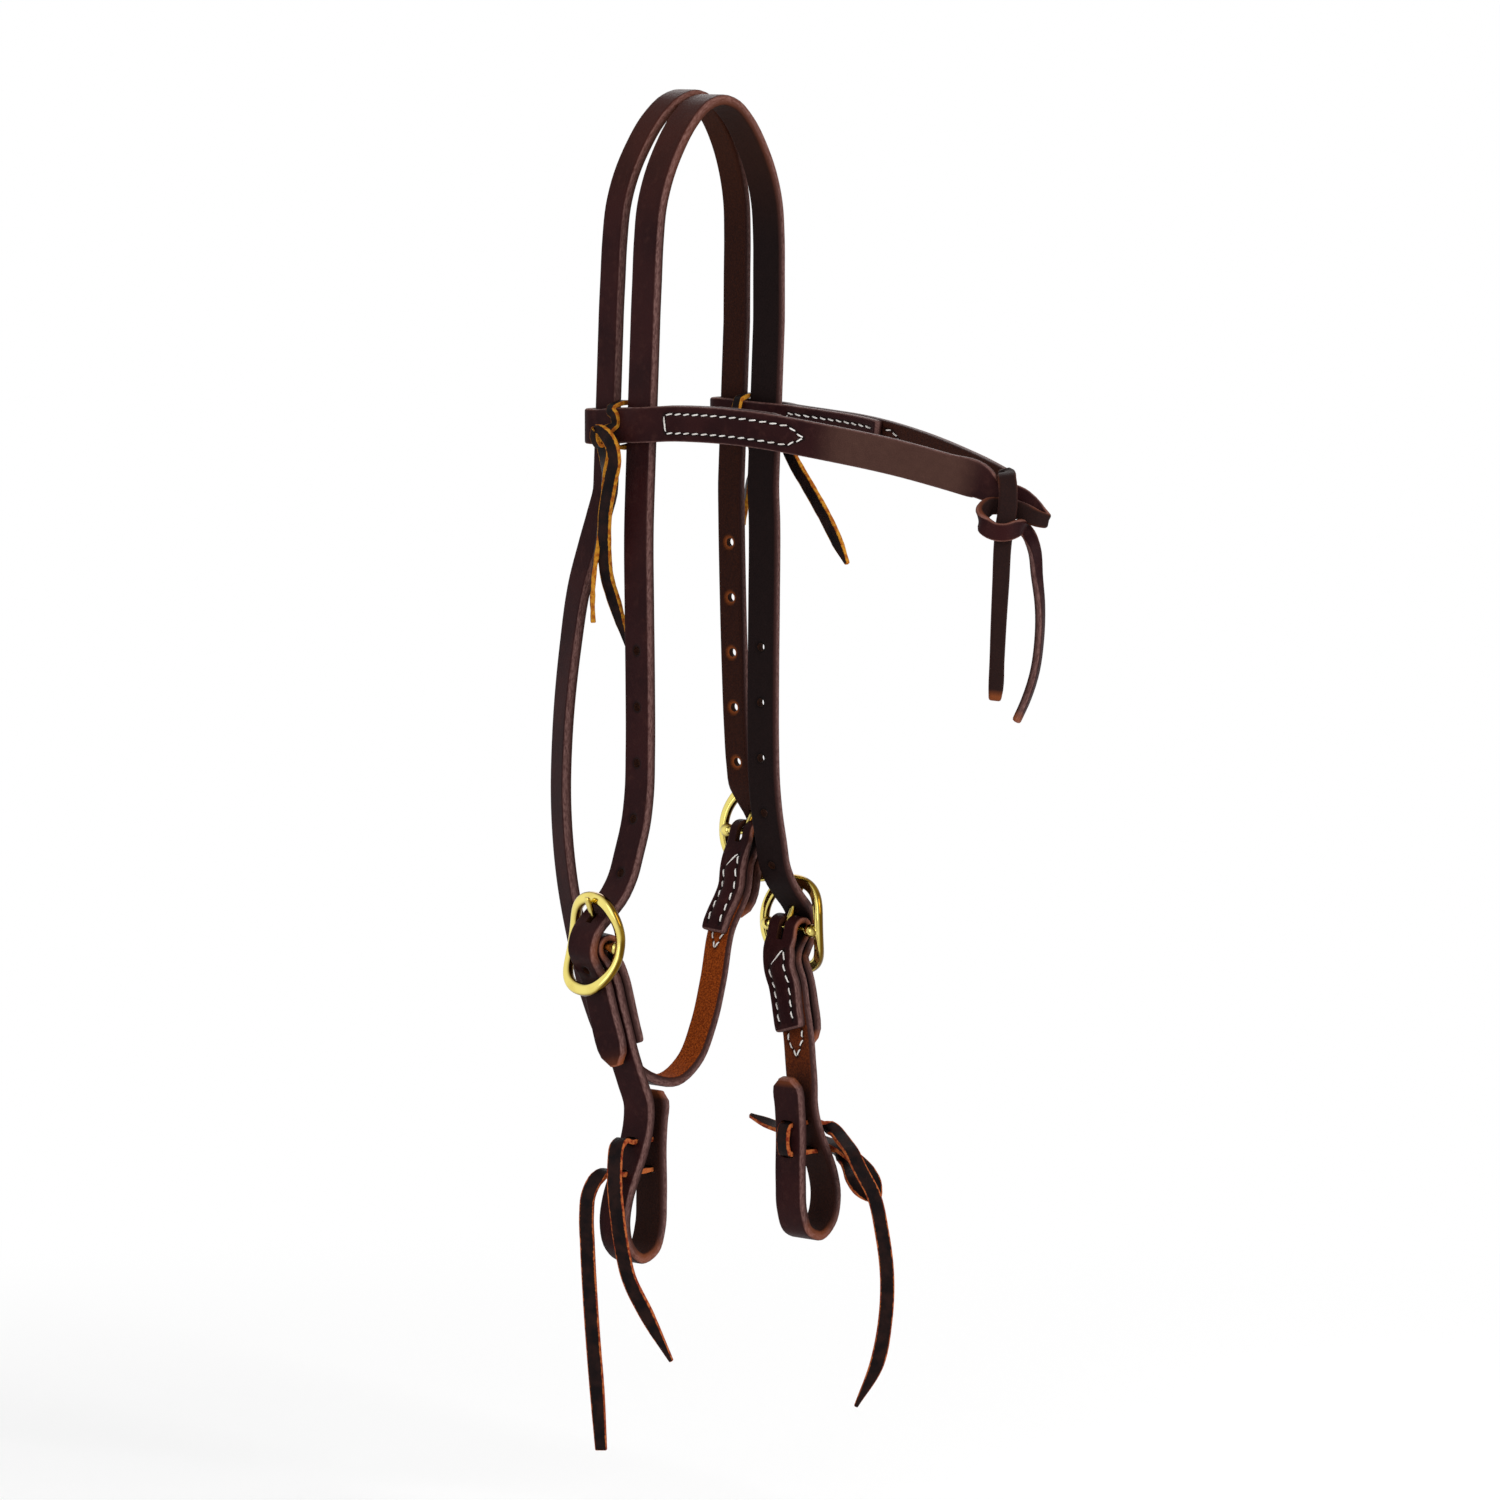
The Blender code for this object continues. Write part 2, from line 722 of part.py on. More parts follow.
def cheek_lower_rows(side):
    """The cheek piece below its buckle, down into the bit loop and up to the loop's inner tip."""
    rows = []
    span = BIT_DROP - BUCKLE_DROP
    for down, out, forward in cheek_piece_shares:
        z = -BUCKLE_DROP - cheek_sink[side] - span * down
        rows.append(row((side * BUCKLE_OUT * out, -BIT_FORWARD * forward, z), BACK))
    for out, up in bit_loop_shares:
        rows.append(row(bit_point(side, out, up), BACK))
    for out, up, wide in bit_tip_shares:
        rows.append(row(bit_point(side, out, up), BACK, STRAP_WIDTH * wide))
    return rows


def cheek_fall_rows(side):
    rows = []
    fall = BUCKLE_DROP + cheek_sink[side] + STRAIGHT_END
    for down, out, back in cheek_fall_shares:
        x = side * (HEAD_HALF_WIDTH + (BUCKLE_OUT - HEAD_HALF_WIDTH) * out)
        rows.append(row((x, BUCKLE_BACK * back, STRAIGHT_END - fall * down), flared(side)))
    return rows


def bit_hole_cutter(name, side):
    """Two slots through both layers of a bit loop, as one cutter."""
    bm = bmesh.new()
    half_y = LACE_WIDTH / 2 + LACE_HOLE_CLEARANCE
    half_z = LACE_THICK / 2 + LACE_HOLE_CLEARANCE
    for hole in (0, 1):
        centre = bit_hole(side, hole)
        x0, x1 = centre[0] - side * BIT_LOOP_SPAN / 2, centre[0] + side * BIT_LOOP_SPAN
        corners = []
        for x in (min(x0, x1), max(x0, x1)):
            for y, z in ((-half_y, -half_z), (half_y, -half_z), (half_y, half_z), (-half_y, half_z)):
                corners.append(bm.verts.new((x, centre[1] + y, centre[2] + z)))
        near, far = corners[:4], corners[4:]
        bm.faces.new(near[::-1])
        bm.faces.new(far)
        for i in range(4):
            j = (i + 1) % 4
            bm.faces.new((near[i], near[j], far[j], far[i]))
    return object_from(name, bm)


def bit_hole(side, hole):
    """The middle of a lace hole in the loop's inner layer: 0 is the upper one."""
    return bit_point(side, 0, 0) + UP * (LACE_HOLE_RISE + LACE_HOLE_PITCH * (1 - hole))


# Throat strap

THROAT_SEAT = Seat(LEFT, (THROAT_BUCKLE_OUT, THROAT_BUCKLE_BACK, -THROAT_BUCKLE_DROP))

# From the right side's straight run to the left side's buckle: out as a share of half the head's
# width, back as a share of the furthest, down as a share of the throat's drop, and twist as a
# share of the most
throat_shares = (
    (-1.00, 0.545, 0.412, 0.21),
    (-1.03, 0.65, 0.446, 0.35),
    (-1.06, 0.76, 0.483, 0.55),
    (-1.084, 0.88, 0.551, 0.8),
    (-1.096, 0.98, 0.640, 1.0),
    (-1.096, 1.00, 0.715, 1.0),
    (-1.084, 0.935, 0.786, 0.9),
    (-1.06, 0.80, 0.850, 0.8),
    (-0.973, 0.674, 0.910, 0.6),
    (-0.763, 0.576, 0.960, 0.4),
    (-0.42, 0.50, 0.991, 0.2),
    (0.00, 0.467, 1.000, 0.0),
    (0.345, 0.467, 0.983, 0.0),
    (0.59, 0.478, 0.948, -0.1),
    (0.763, 0.485, 0.903, -0.2),
    (0.90, 0.49, 0.854, -0.2),
)
# The throat billet from the straight run to its buckle: down as a share of that drop, and out as
# a share of the way to the buckle
throat_fall_shares = ((0.10, 0.0), (0.30, 0.0), (0.52, 0.02), (0.70, 0.05), (0.805, 0.13))


def throat_rows():
    rows = []
    for out, back, down, twist in throat_shares:
        point = (HEAD_HALF_WIDTH * out, THROAT_BACK * back, -THROAT_DROP * down)
        rows.append(row(point, flared(RIGHT, THROAT_TWIST * twist)))
    return rows


def throat_fall_rows():
    rows = []
    start = on_straight(LEFT, STRAIGHT_END, rear_setback[LEFT])
    for down, out in throat_fall_shares:
        point = start + (THROAT_SEAT.centre - start) * np.array([out, down, down])
        rows.append(row(point, THROAT_SEAT.back))
    return rows


# Browband

# Ahead as a share of the band's reach, out as a share of half the head's width, and how far it
# has sunk as a share of the band's sag
band_shares = (
    (0.10, 1.053, -0.03),
    (0.20, 1.035, -0.05),
    (0.32, 0.993, -0.03),
    (0.565, 0.737, 0.2),
    (0.755, 0.49, 0.46),
    (0.865, 0.345, 0.66),
    (0.94, 0.232, 0.81),
)
# How much further the left half has sunk than the right, as shares of the sag
left_sunk_shares = (0.13, 0.20, 0.24, 0.22, 0.21, 0.19, 0.19)
BAND_OUT = STRAP_THICK / 2 + BAND_CLEARANCE + BAND_THICK / 2
BAND_REAR = THROAT_WIDTH / 2 + BAND_CLEARANCE + BAND_THICK / 2
# The bend round the rear strap: back as a share of the bend's size short of its rearmost point,
# and out as a share of the layer's distance from the strap
bend_shares = (
    (1.6, 1.0),
    (0.6, 1.0),
    (0.28, 0.86),
    (0.04, 0.46),
    (0, 0),
    (0.04, -0.46),
    (0.28, -0.86),
    (0.6, -1.0),
    (1.6, -1.0),
)
# How far the band has sunk at its rear bend, between the side straps and at the front one, as
# shares of its sag
loop_sunk_shares = {RIGHT: (0.1, 0.05, 0.0), LEFT: (0.02, 0.05, 0.08)}
# The knot's strands: left, ahead and up from its middle as shares of its size, and the width
# direction there
near_knot_shares = (
    ((-0.22, -0.27, 0.26), (0.1, 0, 1), 1.5),
    ((0.08, 0.10, 0.35), (0.2, -0.1, 1), 1.1),
    ((0.42, 0.55, 0.18), (0.4, -0.4, 0.8), 1),
    ((0.62, 0.94, -0.20), (0.5, -0.5, 0.7), 1),
    ((0.75, 1.29, -0.62), (0.4, -0.4, 0.8), 1),
    ((0.72, 1.63, -0.90), (0.2, -0.2, 1), 1),
    ((0.41, 1.58, -0.85), (0.1, -0.1, 1), 1),
    ((-0.02, 0.82, -0.49), (0, 0, 1), 1),
    ((-0.42, 0.19, -0.31), (0, 0, 1), 1),
    ((-0.88, -0.19, -0.30), (0, 0, 1), 1),
    ((-1.31, -0.22, -0.58), (-0.2, 0.1, 1), 1),
    ((-1.52, 0.07, -1.08), (0, 0.1, 1), 1),
    ((-1.41, 0.55, -1.32), (0, 0, 1), 1),
    ((-1.09, 0.95, -1.36), (0, 0, 1), 1),
    ((-0.65, 1.15, -1.24), (0.1, 0, 1), 1),
    ((-0.25, 1.07, -1.18), (0.2, -0.2, 1), 1),
    ((0.16, 0.89, -1.26), (0.4, -0.3, 0.9), 1),
    ((0.43, 0.94, -1.53), (0.6, -0.6, 0.5), 1),
    ((0.54, 1.14, -2.09), (0.7, -0.7, 0.1), 1),
    ((0.56, 1.41, -3.32), (0.7, -0.7, 0), 1),
    ((0.49, 1.68, -4.60), (0.6, -0.8, 0), 1),
    ((0.29, 1.77, -6.10), (0.6, -0.8, 0), 1),
    ((-0.04, 1.72, -7.59), (0.6, -0.8, 0), 1),
    ((-0.42, 1.55, -8.66), (0.6, -0.8, 0), 0.95),
    ((-0.79, 1.36, -9.51), (0.6, -0.8, 0), 0.45),
)
far_knot_shares = (
    ((1.08, -1.05, 0.68), (-0.1, 0.3, 1), 1.7),
    ((0.72, -0.70, 0.86), (0.2, 0.3, 0.9), 1.2),
    ((0.45, -0.40, 0.96), (0.5, -0.4, 0.6), 1),
    ((0.10, -0.04, 0.99), (0.7, -0.7, 0.1), 1),
    ((-0.19, 0.22, 0.89), (0.7, -0.7, 0.1), 1),
    ((-0.38, 0.44, 0.60), (0.7, -0.7, 0), 1),
    ((-0.55, 0.60, 0.14), (0.7, -0.7, 0), 1),
    ((-0.70, 0.66, -0.40), (0.7, -0.7, 0), 1),
    ((-0.89, 0.62, -1.13), (0.7, -0.7, 0), 1),
    ((-0.91, 0.54, -1.99), (0.7, -0.7, 0), 1),
    ((-0.98, 0.53, -3.50), (0.7, -0.7, 0), 1),
    ((-1.17, 0.59, -5.21), (0.7, -0.7, 0), 0.97),
    ((-1.38, 0.69, -6.92), (0.7, -0.7, 0), 0.95),
    ((-1.55, 0.77, -8.30), (0.7, -0.7, 0), 0.9),
    ((-1.59, 0.79, -8.55), (0.7, -0.7, 0), 0.55),
)
KNOT_CENTRE = np.array([-KNOT_ASIDE, -BAND_REACH, -BAND_DROP - BAND_SAG - KNOT_DROP])


def band_row(point, thick=BAND_THICK, width=STRAP_WIDTH):
    return row(point, UP, width, thick)


def band_main_rows(side):
    """The band's outer layer from the bend behind the rear strap to where the thong begins."""
    rows = []
    for short, out in bend_shares[::-1]:
        z = -BAND_DROP - BAND_SAG * loop_sunk_shares[side][0]
        back = rear_setback[side] + BAND_REAR - BAND_OUT * short
        point = on_straight(side, z, back, BAND_OUT * out)
        rows.append(band_row(point))
    rows += beside_straps(side, BAND_OUT)
    for (ahead, out, sunk), extra in zip(band_shares, left_sunk_shares):
        z = -BAND_DROP - BAND_SAG * (sunk + (extra if side == LEFT else 0))
        rows.append(band_row((side * HEAD_HALF_WIDTH * out, -BAND_REACH * ahead, z)))
    return rows


def beside_straps(side, out):
    """One layer's rows between the side straps and at the front strap's front edge."""
    _, middle, front = (-BAND_DROP - BAND_SAG * sunk for sunk in loop_sunk_shares[side])
    return [
        band_row(on_straight(side, middle, rear_setback[side] / 2, out)),
        band_row(on_straight(side, front, -STRAP_WIDTH / 2, out)),
    ]


def band_rows(side):
    """A whole half of the browband, from its folded end to its thong's tip."""
    main = band_main_rows(side)
    core = Route(main)
    first = core.nearest(main[len(bend_shares) + 2][:3])
    close = core.nearest(main[len(bend_shares) + 1][:3])

    def inner_at(reach):
        return beside(core, reach, side * np.array([-1.0, 0, 0]), GAP, STRAP_WIDTH, BAND_THICK)

    rows = layer_to_end(inner_at, first, close + BAND_LAP, blunt_tip_shares)[::-1]
    rows += beside_straps(side, -BAND_OUT)[::-1] + main
    for (left, ahead, up), across, wide in near_knot_shares if side == RIGHT else far_knot_shares:
        point = KNOT_CENTRE + KNOT_SIZE * np.array([left, -ahead, up])
        width = THONG_WIDTH * wide
        rows.append(row(point, across, width, THONG_THICK))
    return rows


# Laces

# Points in mm: out, back and up from the hole where the lace leaves the main layer
right_upper_tail = (
    (5, 0, 0), (9.5, -1, 1.2), (14.5, -2.5, -0.8), (18.5, -5, -7.5), (20.2, -6.5, -17.5),
    (19.4, -7.5, -32), (16.8, -7.6, -45.7), (14.2, -9, -58.8), (7.6, -14, -75.7), (0.5, -21.5, -94.6),
)
right_lower_tail = (
    (5, 0, 0), (10, 1.5, 1.5), (14, 4, -1), (17, 6.5, -8), (17.5, 7.5, -18), (17, 7.5, -31),
    (16, 7, -53), (15, 6, -75), (13.5, 5, -97), (11, 5, -121),
)
left_upper_tail = (
    (4, 0, 0), (8, -2, -2), (11.0, -7, -4.5), (9.6, -14, -8.5), (7, -22, -13), (5, -29, -20),
    (7, -35, -30.5), (9, -39, -49), (10.5, -40.7, -68), (11, -39, -91), (10, -35, -110), (5, -26.7, -130),
)
left_lower_tail = (
    (6, -0.5, -0.3), (10.5, -4, -2), (11, -9, -5.5), (8, -14, -8.5), (3.5, -20, -12), (2, -27, -16.5), (5.5, -31.5, -18.5),
    (7.5, -30, -14), (9, -25, -9), (9.5, -15, -3), (9, -7, 1), (7, 4, 3.4), (5.8, 13, 5.5),
    (2.9, 21.1, 6.9), (0.5, 30, 9), (-2, 39, 12),
)
# The tie's strands on the band's outer face, before and after its first turn round the band: out
# in layers of lace, back in lace widths, and up as a share of half the turn's height
first_strand_shares = ((0, -0.6, 0), (0, -0.6, 0.5))
second_strand_shares = ((0, 0.6, -0.5), (0, 0.9, 0), (0.5, 1.0, 0.5))
# Points in mm: out, back and up from the middle of the band between the side straps. The knot's
# have the rise of the lace's width direction with them
tie_knot_front = (((9.8, -1.6, -1.2), 0.6), ((11.4, 1.5, -2.8), 2), ((11.7, 5, -4.8), 1))
tie_knot_back = (
    ((13.4, 1.5, -8.6), 0),
    ((14.6, 3.2, -4.8), -0.1),
    ((14.8, 2.4, -2), -0.3),
    ((14.9, 0.2, -1.4), -0.8),
)
short_tail_lift, long_tail_lift, tail_turn = 0.3, -0.5, 0.375
right_tie_short = (
    (10.8, 4.2, -10), (10.5, 3.3, -22), (10, 4.7, -35.5), (9.5, 7.6, -53), (9, 10.4, -68.5),
    (8.5, 11, -79.5), (8, 10.6, -89),
)
right_tie_long = (
    (14.6, -4.5, -4), (14.2, -8.8, -9.5), (13.5, -9.4, -14), (12.8, -6.6, -24), (12.3, -3.2, -38),
    (10.1, -0.8, -53), (6.6, 0.7, -68), (2.2, 1.2, -80), (-2.4, 1.2, -100),
)
left_tie_short = ((10.8, 4.6, -10), (10.5, 5, -22), (10, 7, -35), (9, 8, -50))
left_tie_long = (
    (14.7, -3.4, -3.5), (14.4, -9, -9), (13.8, -15.4, -19), (13, -26.4, -32), (12, -37.4, -45),
    (11, -46.4, -57), (10, -52.4, -65),
)


def lace_rows(points, across, width, thick):
    """Rows along hand-placed points, narrowing at the last one."""
    steps = np.linalg.norm(np.diff(np.array(points), axis=0), axis=1)
    reach = np.concatenate([[0], np.cumsum(steps)])
    back, wide = np.array(lace_tip_shares[::-1]).T
    rows = []
    for point, along in zip(points, reach):
        share = np.interp((reach[-1] - along) / width, back, wide)
        rows.append(row(point, across, width * share, thick))
    return rows


# How many of a tail's rows lie flat as it leaves its hole, before it turns to hang
STRAIGHT_ROWS = 2


def bit_lace(name, side, upper_tail, lower_tail, hang):
    """A lace through both pairs of holes: down the inner face, out through the outer layer twice."""
    slack = LACE_HOLE_CLEARANCE - GAP
    corner = LACE_THICK
    edge = STRAP_THICK / 2
    across = np.array([0, -1.0, 0])
    inner = []
    for hole, toward in ((0, -1), (1, 1)):
        centre = bit_hole(side, hole)
        turn = (
            (main_out(hole) - edge, 0),
            (edge, slack / 2),
            (-edge, slack),
            (-edge - corner * math.sin(math.pi / 4), slack + corner * (1 - math.cos(math.pi / 4))),
            (-edge - corner, slack + corner),
        )
        points = [centre + side * RIGHTWARD * out + UP * toward * up for out, up in turn]
        inner.append(points)
    middle = inner[0] + inner[1][::-1]
    rows = []
    for hole, tail in ((0, upper_tail), (1, lower_tail)):
        centre = bit_hole(side, hole) + side * RIGHTWARD * main_out(hole)
        points = [centre + MM * np.array([side * out, back, up]) for out, back, up in tail]
        made = lace_rows(points, across, LACE_WIDTH, LACE_THICK)
        for count, one in enumerate(made):
            one[3:6] = across if count < STRAIGHT_ROWS else unit(hang)
        rows.append(made)
    between = [row(point, across, LACE_WIDTH, LACE_THICK) for point in middle]
    swept(name, Route([*rows[0][::-1], *between, *rows[1]]), LACE_LEATHER, square=True)


RIGHTWARD = np.array([1.0, 0, 0])


def main_out(hole):
    """How far the bit loop's main layer stands out from its inner layer at a lace hole."""
    up = (LACE_HOLE_RISE + LACE_HOLE_PITCH * (1 - hole)) / BIT_LOOP_HEIGHT
    outs, ups = np.array(bit_loop_shares[:7]).T
    return BIT_LOOP_SPAN * np.interp(up, ups[::-1], outs[::-1])


def tie_lace(name, side, short_tail, long_tail):
    """A lace wrapped twice round the browband between the side straps, half knotted outside."""
    middle_back = (rear_setback[side] + (STRAP_WIDTH - THROAT_WIDTH) / 2) / 2
    middle_z = -BAND_DROP - BAND_SAG * loop_sunk_shares[side][1]
    centre = on_straight(side, middle_z, middle_back)
    back = flared(side)
    out = side * np.cross(back, SLIDE_AXIS)
    face = BAND_OUT + BAND_THICK / 2 + TIE_CLEARANCE + LACE_THICK / 2
    top = STRAP_WIDTH / 2 + TIE_CLEARANCE + LACE_THICK / 2
    stacked = LACE_THICK + TIE_CLEARANCE

    def at(o, b, z, across=back, width=TIE_WIDTH):
        return row(centre + out * o + back * b + SLIDE_AXIS * z, across, width, LACE_THICK)

    def once_round(layer):
        """Rows round the band from outside over the top, on the first layer or the second."""
        o, z = face + layer * stacked, top + layer * stacked
        eased = LACE_THICK * (1 - math.sin(math.pi / 4))
        corner = ((o, z - LACE_THICK), (o - eased, z - eased), (o - LACE_THICK, z))
        rows = []
        for count, (o_sign, z_sign) in enumerate(((1, 1), (-1, 1), (-1, -1), (1, -1))):
            for one, up in corner[::-1] if count % 2 else corner:
                rows.append(at(one * o_sign, 0, up * z_sign, width=TIE_PINCHED_WIDTH))
        return rows

    def knotted(points):
        return [at(*(MM * np.array(p)), across=back + SLIDE_AXIS * lift) for p, lift in points]

    def strand(shares):
        return [at(face + stacked * o, TIE_WIDTH * b, top * z) for o, b, z in shares]

    loop = [*strand(first_strand_shares), *once_round(0)]
    loop += [*strand(second_strand_shares), *once_round(1)]
    tails = []
    for tail, lift in ((short_tail, short_tail_lift), (long_tail, long_tail_lift)):
        points = [at(*(MM * np.array(p)))[:3] for p in tail]
        made = lace_rows(points, unit(back - out * tail_turn), TIE_WIDTH, LACE_THICK)
        made[0][3:6] = unit(back + SLIDE_AXIS * lift)
        tails.append(made)
    front = knotted(tie_knot_front)
    rows = [*tails[0][::-1], *front[::-1], *loop, *knotted(tie_knot_back), *tails[1]]
    swept(name, Route(rows), LACE_LEATHER, square=True)


# Sewing


# The least share of its width that a thread keeps across a sharp corner
LEAST_MITRE = 0.5


def thread(name, route, line, toward):
    """A closed thread on one face of a strap. line holds (length along, across) points."""
    points, normals = [], []
    stops = [*line, line[0]]
    for (r0, w0), (r1, w1) in zip(stops, stops[1:]):
        low, high = min(r0, r1), max(r0, r1)
        inside = [r for r in route.reach if low + THREAD_RADIUS < r < high - THREAD_RADIUS]
        for reach in [r0, *(inside if r1 > r0 else inside[::-1])]:
            wide = w0 + (w1 - w0) * ((reach - r0) / (r1 - r0) if r1 != r0 else 0)
            point, _, across, face, half = route.at(reach)
            face = unit(face * np.sign(face @ toward))
            points.append(point + face * (half + GAP + THREAD_RADIUS) + unit(across) * wide)
            normals.append(face)
    bm = bmesh.new()
    rings = []
    n = len(points)
    for i in range(n):
        before, after = unit(points[i] - points[i - 1]), unit(points[(i + 1) % n] - points[i])
        along = unit(before + after)
        widen = 1 / max(along @ after, LEAST_MITRE)
        aside = unit(np.cross(normals[i], along)) * THREAD_RADIUS * widen
        lift = unit(np.cross(along, aside)) * THREAD_RADIUS
        corners = (aside - lift, aside + lift, lift - aside, -aside - lift)
        rings.append([bm.verts.new(points[i] + corner) for corner in corners])
    for lower, upper in zip(rings, [*rings[1:], rings[0]]):
        for i in range(4):
            j = (i + 1) % 4
            bm.faces.new((lower[i], lower[j], upper[j], upper[i]))
    object_from(name, bm, THREAD)


def seam_line(start, end, width=STRAP_WIDTH):
    """Two rows of stitching from a start bar to a pointed end, as (length, across) points."""
    half = SEAM_SPACING * width / STRAP_WIDTH / 2
    shoulder = end + (SEAM_POINT if start > end else -SEAM_POINT)
    return [(start, -half), (shoulder, -half), (end, 0), (shoulder, half), (start, half)]


def main():
    for old in list(bpy.data.objects):
        bpy.data.objects.remove(old)

    word = {RIGHT: "right", LEFT: "left"}
    ends = {}
    for side in (RIGHT, LEFT):
        seat = cheek_seat(side)
        lower = cheek_lower_rows(side)
        end = ends[side] = SewnEnd(seat, lower, CHEEK_LAP, BILLET_TAIL)
        route = Route([*end.folded, *end.fold, *lower])
        cheek = swept(word[side] + "_cheek_piece", route, LEATHER)
        add_boolean(cheek, fold_slot(cheek.name + "_slot", seat), "DIFFERENCE")
        add_boolean(cheek, bit_hole_cutter(cheek.name + "_holes", side), "DIFFERENCE")
        buckle_frame(word[side] + "_cheek_buckle_frame", seat)
        buckle_tongue(word[side] + "_cheek_buckle_tongue", seat)
        sew(word[side] + "_cheek", route, seat, CHEEK_LAP, CHEEK_SEAM)

    crown_route, crown = crown_strap(ends)
    middle = crown_route.length / 2
    punched(crown, crown_route, cheek_seat(RIGHT), 0, middle)
    punched(crown, crown_route, cheek_seat(LEFT), middle, crown_route.length)

    lower = throat_rows()[::-1]
    end = SewnEnd(THROAT_SEAT, lower, THROAT_LAP, THROAT_TAIL)
    rows = [*end.folded, *end.fold, *lower, *crown_rows(RIGHT, 1)[::-1], crown_top(1)]
    rows += [*crown_rows(LEFT, 1), *throat_fall_rows(), *end.billet]
    for one in rows:
        one[6] *= THROAT_WIDTH / STRAP_WIDTH
    route = Route(rows)
    throat = swept("crown_throat_strap", route, LEATHER)
    punched(throat, route, THROAT_SEAT, route.length / 2, route.length)
    add_boolean(throat, fold_slot(throat.name + "_fold_slot", THROAT_SEAT), "DIFFERENCE")
    buckle_frame("throat_buckle_frame", THROAT_SEAT)
    buckle_tongue("throat_buckle_tongue", THROAT_SEAT)
    sew("throat", route, THROAT_SEAT, THROAT_LAP, THROAT_SEAM, THROAT_WIDTH)

    for side in (RIGHT, LEFT):
        rows = band_rows(side)
        route = Route(rows)
        swept(word[side] + "_browband_half", route, LEATHER)
        sew_band(word[side] + "_browband", route, side)
    tie_lace("right_browband_tie_lace", RIGHT, right_tie_short, right_tie_long)
    tie_lace("left_browband_tie_lace", LEFT, left_tie_short, left_tie_long)
    bit_lace("right_bit_lace", RIGHT, right_upper_tail, right_lower_tail, (0.5, -0.87, 0))
    bit_lace("left_bit_lace", LEFT, left_upper_tail, left_lower_tail, (0.68, -0.73, 0))


def crown_strap(ends):
    halves = {}
    for side in (RIGHT, LEFT):
        halves[side] = [*crown_rows(side, 0), *cheek_fall_rows(side), *ends[side].billet]
    route = Route([*halves[RIGHT][::-1], crown_top(0), *halves[LEFT]])
    return route, swept("crown_cheek_strap", route, LEATHER)


def sew(name, route, seat, lap, seam, width=STRAP_WIDTH):
    """The needle thread outside and the bobbin thread inside a buckle's fold."""
    outside = route.nearest(seat.at(0, FOLD_RADIUS))
    inside = route.nearest(seat.at(0, -FOLD_RADIUS))
    line = seam_line(outside + SEAM_START, outside + seam, width)
    thread(name + "_needle_thread", route, line, seat.out)
    line = seam_line(inside - SEAM_START, inside - lap + SEAM_POINT / 2, width)
    thread(name + "_bobbin_thread", route, line, -seat.out)


def sew_band(name, route, side):
    out = np.array([side * 1.0, 0, 0])
    main = band_main_rows(side)
    close = route.nearest(main[len(bend_shares) + 2][:3])
    line = seam_line(close, close + BAND_SEAM)
    thread(name + "_needle_thread", route, line, out)
    core = Route(main)
    first = core.nearest(main[len(bend_shares) + 2][:3])
    start = beside(core, first, -out, GAP, STRAP_WIDTH, BAND_THICK)
    inner = route.nearest(start[:3])
    line = seam_line(inner, inner - BAND_LAP + STRAP_WIDTH)
    thread(name + "_bobbin_thread", route, line, -out)


main()
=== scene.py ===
import math

import bmesh
import bpy
import numpy as np
from mathutils import Matrix, Vector
from mathutils.kdtree import KDTree


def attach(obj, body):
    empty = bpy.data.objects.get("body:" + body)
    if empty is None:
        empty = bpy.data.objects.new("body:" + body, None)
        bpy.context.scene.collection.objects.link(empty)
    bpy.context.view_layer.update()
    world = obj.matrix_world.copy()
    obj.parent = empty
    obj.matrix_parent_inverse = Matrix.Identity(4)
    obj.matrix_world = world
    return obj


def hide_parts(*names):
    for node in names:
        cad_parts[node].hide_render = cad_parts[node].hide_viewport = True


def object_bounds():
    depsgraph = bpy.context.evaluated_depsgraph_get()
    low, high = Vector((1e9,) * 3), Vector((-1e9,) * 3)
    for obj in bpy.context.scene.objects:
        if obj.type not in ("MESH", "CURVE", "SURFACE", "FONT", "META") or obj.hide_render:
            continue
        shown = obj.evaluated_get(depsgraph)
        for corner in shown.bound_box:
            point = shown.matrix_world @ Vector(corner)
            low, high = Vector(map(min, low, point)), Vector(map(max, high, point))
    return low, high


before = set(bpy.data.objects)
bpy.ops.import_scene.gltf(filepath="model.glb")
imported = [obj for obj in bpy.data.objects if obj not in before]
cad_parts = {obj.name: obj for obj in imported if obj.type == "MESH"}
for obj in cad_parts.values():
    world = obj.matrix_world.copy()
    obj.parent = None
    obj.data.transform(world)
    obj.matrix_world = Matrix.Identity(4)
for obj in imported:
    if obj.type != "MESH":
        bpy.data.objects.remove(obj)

cad_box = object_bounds()

# ---------------------------------------------------------------- View, light and floor
# The headstall stands by itself on plain white card, seen through a long lens from the front of its
# right side. One large soft lamp is high on the right of the view and a weaker one on the left.
BEARING, RISE = math.radians(47), math.radians(6)
AIM = Vector((0.0147, -0.0158, -0.292))
STAND_OFF = 3.5
LENS_MM = 185.4
FLOOR_DROP = 0.055
CARD_HALF = 6.0
CARD_WHITE = (1, 1, 1)
CARD_FADE = (0.75, 1.1)
ROOM_GREY = 0.62
LAMPS = (
    ("key_lamp", (0.10, -1.80, 0.85), 1.0, 23),
    ("fill_lamp", (-1.9, -0.25, 0.5), 1.3, 8),
    ("back_lamp", (1.2, 1.2, 1.1), 0.9, 9),
)

scene = bpy.context.scene
scene.view_settings.view_transform = "Standard"


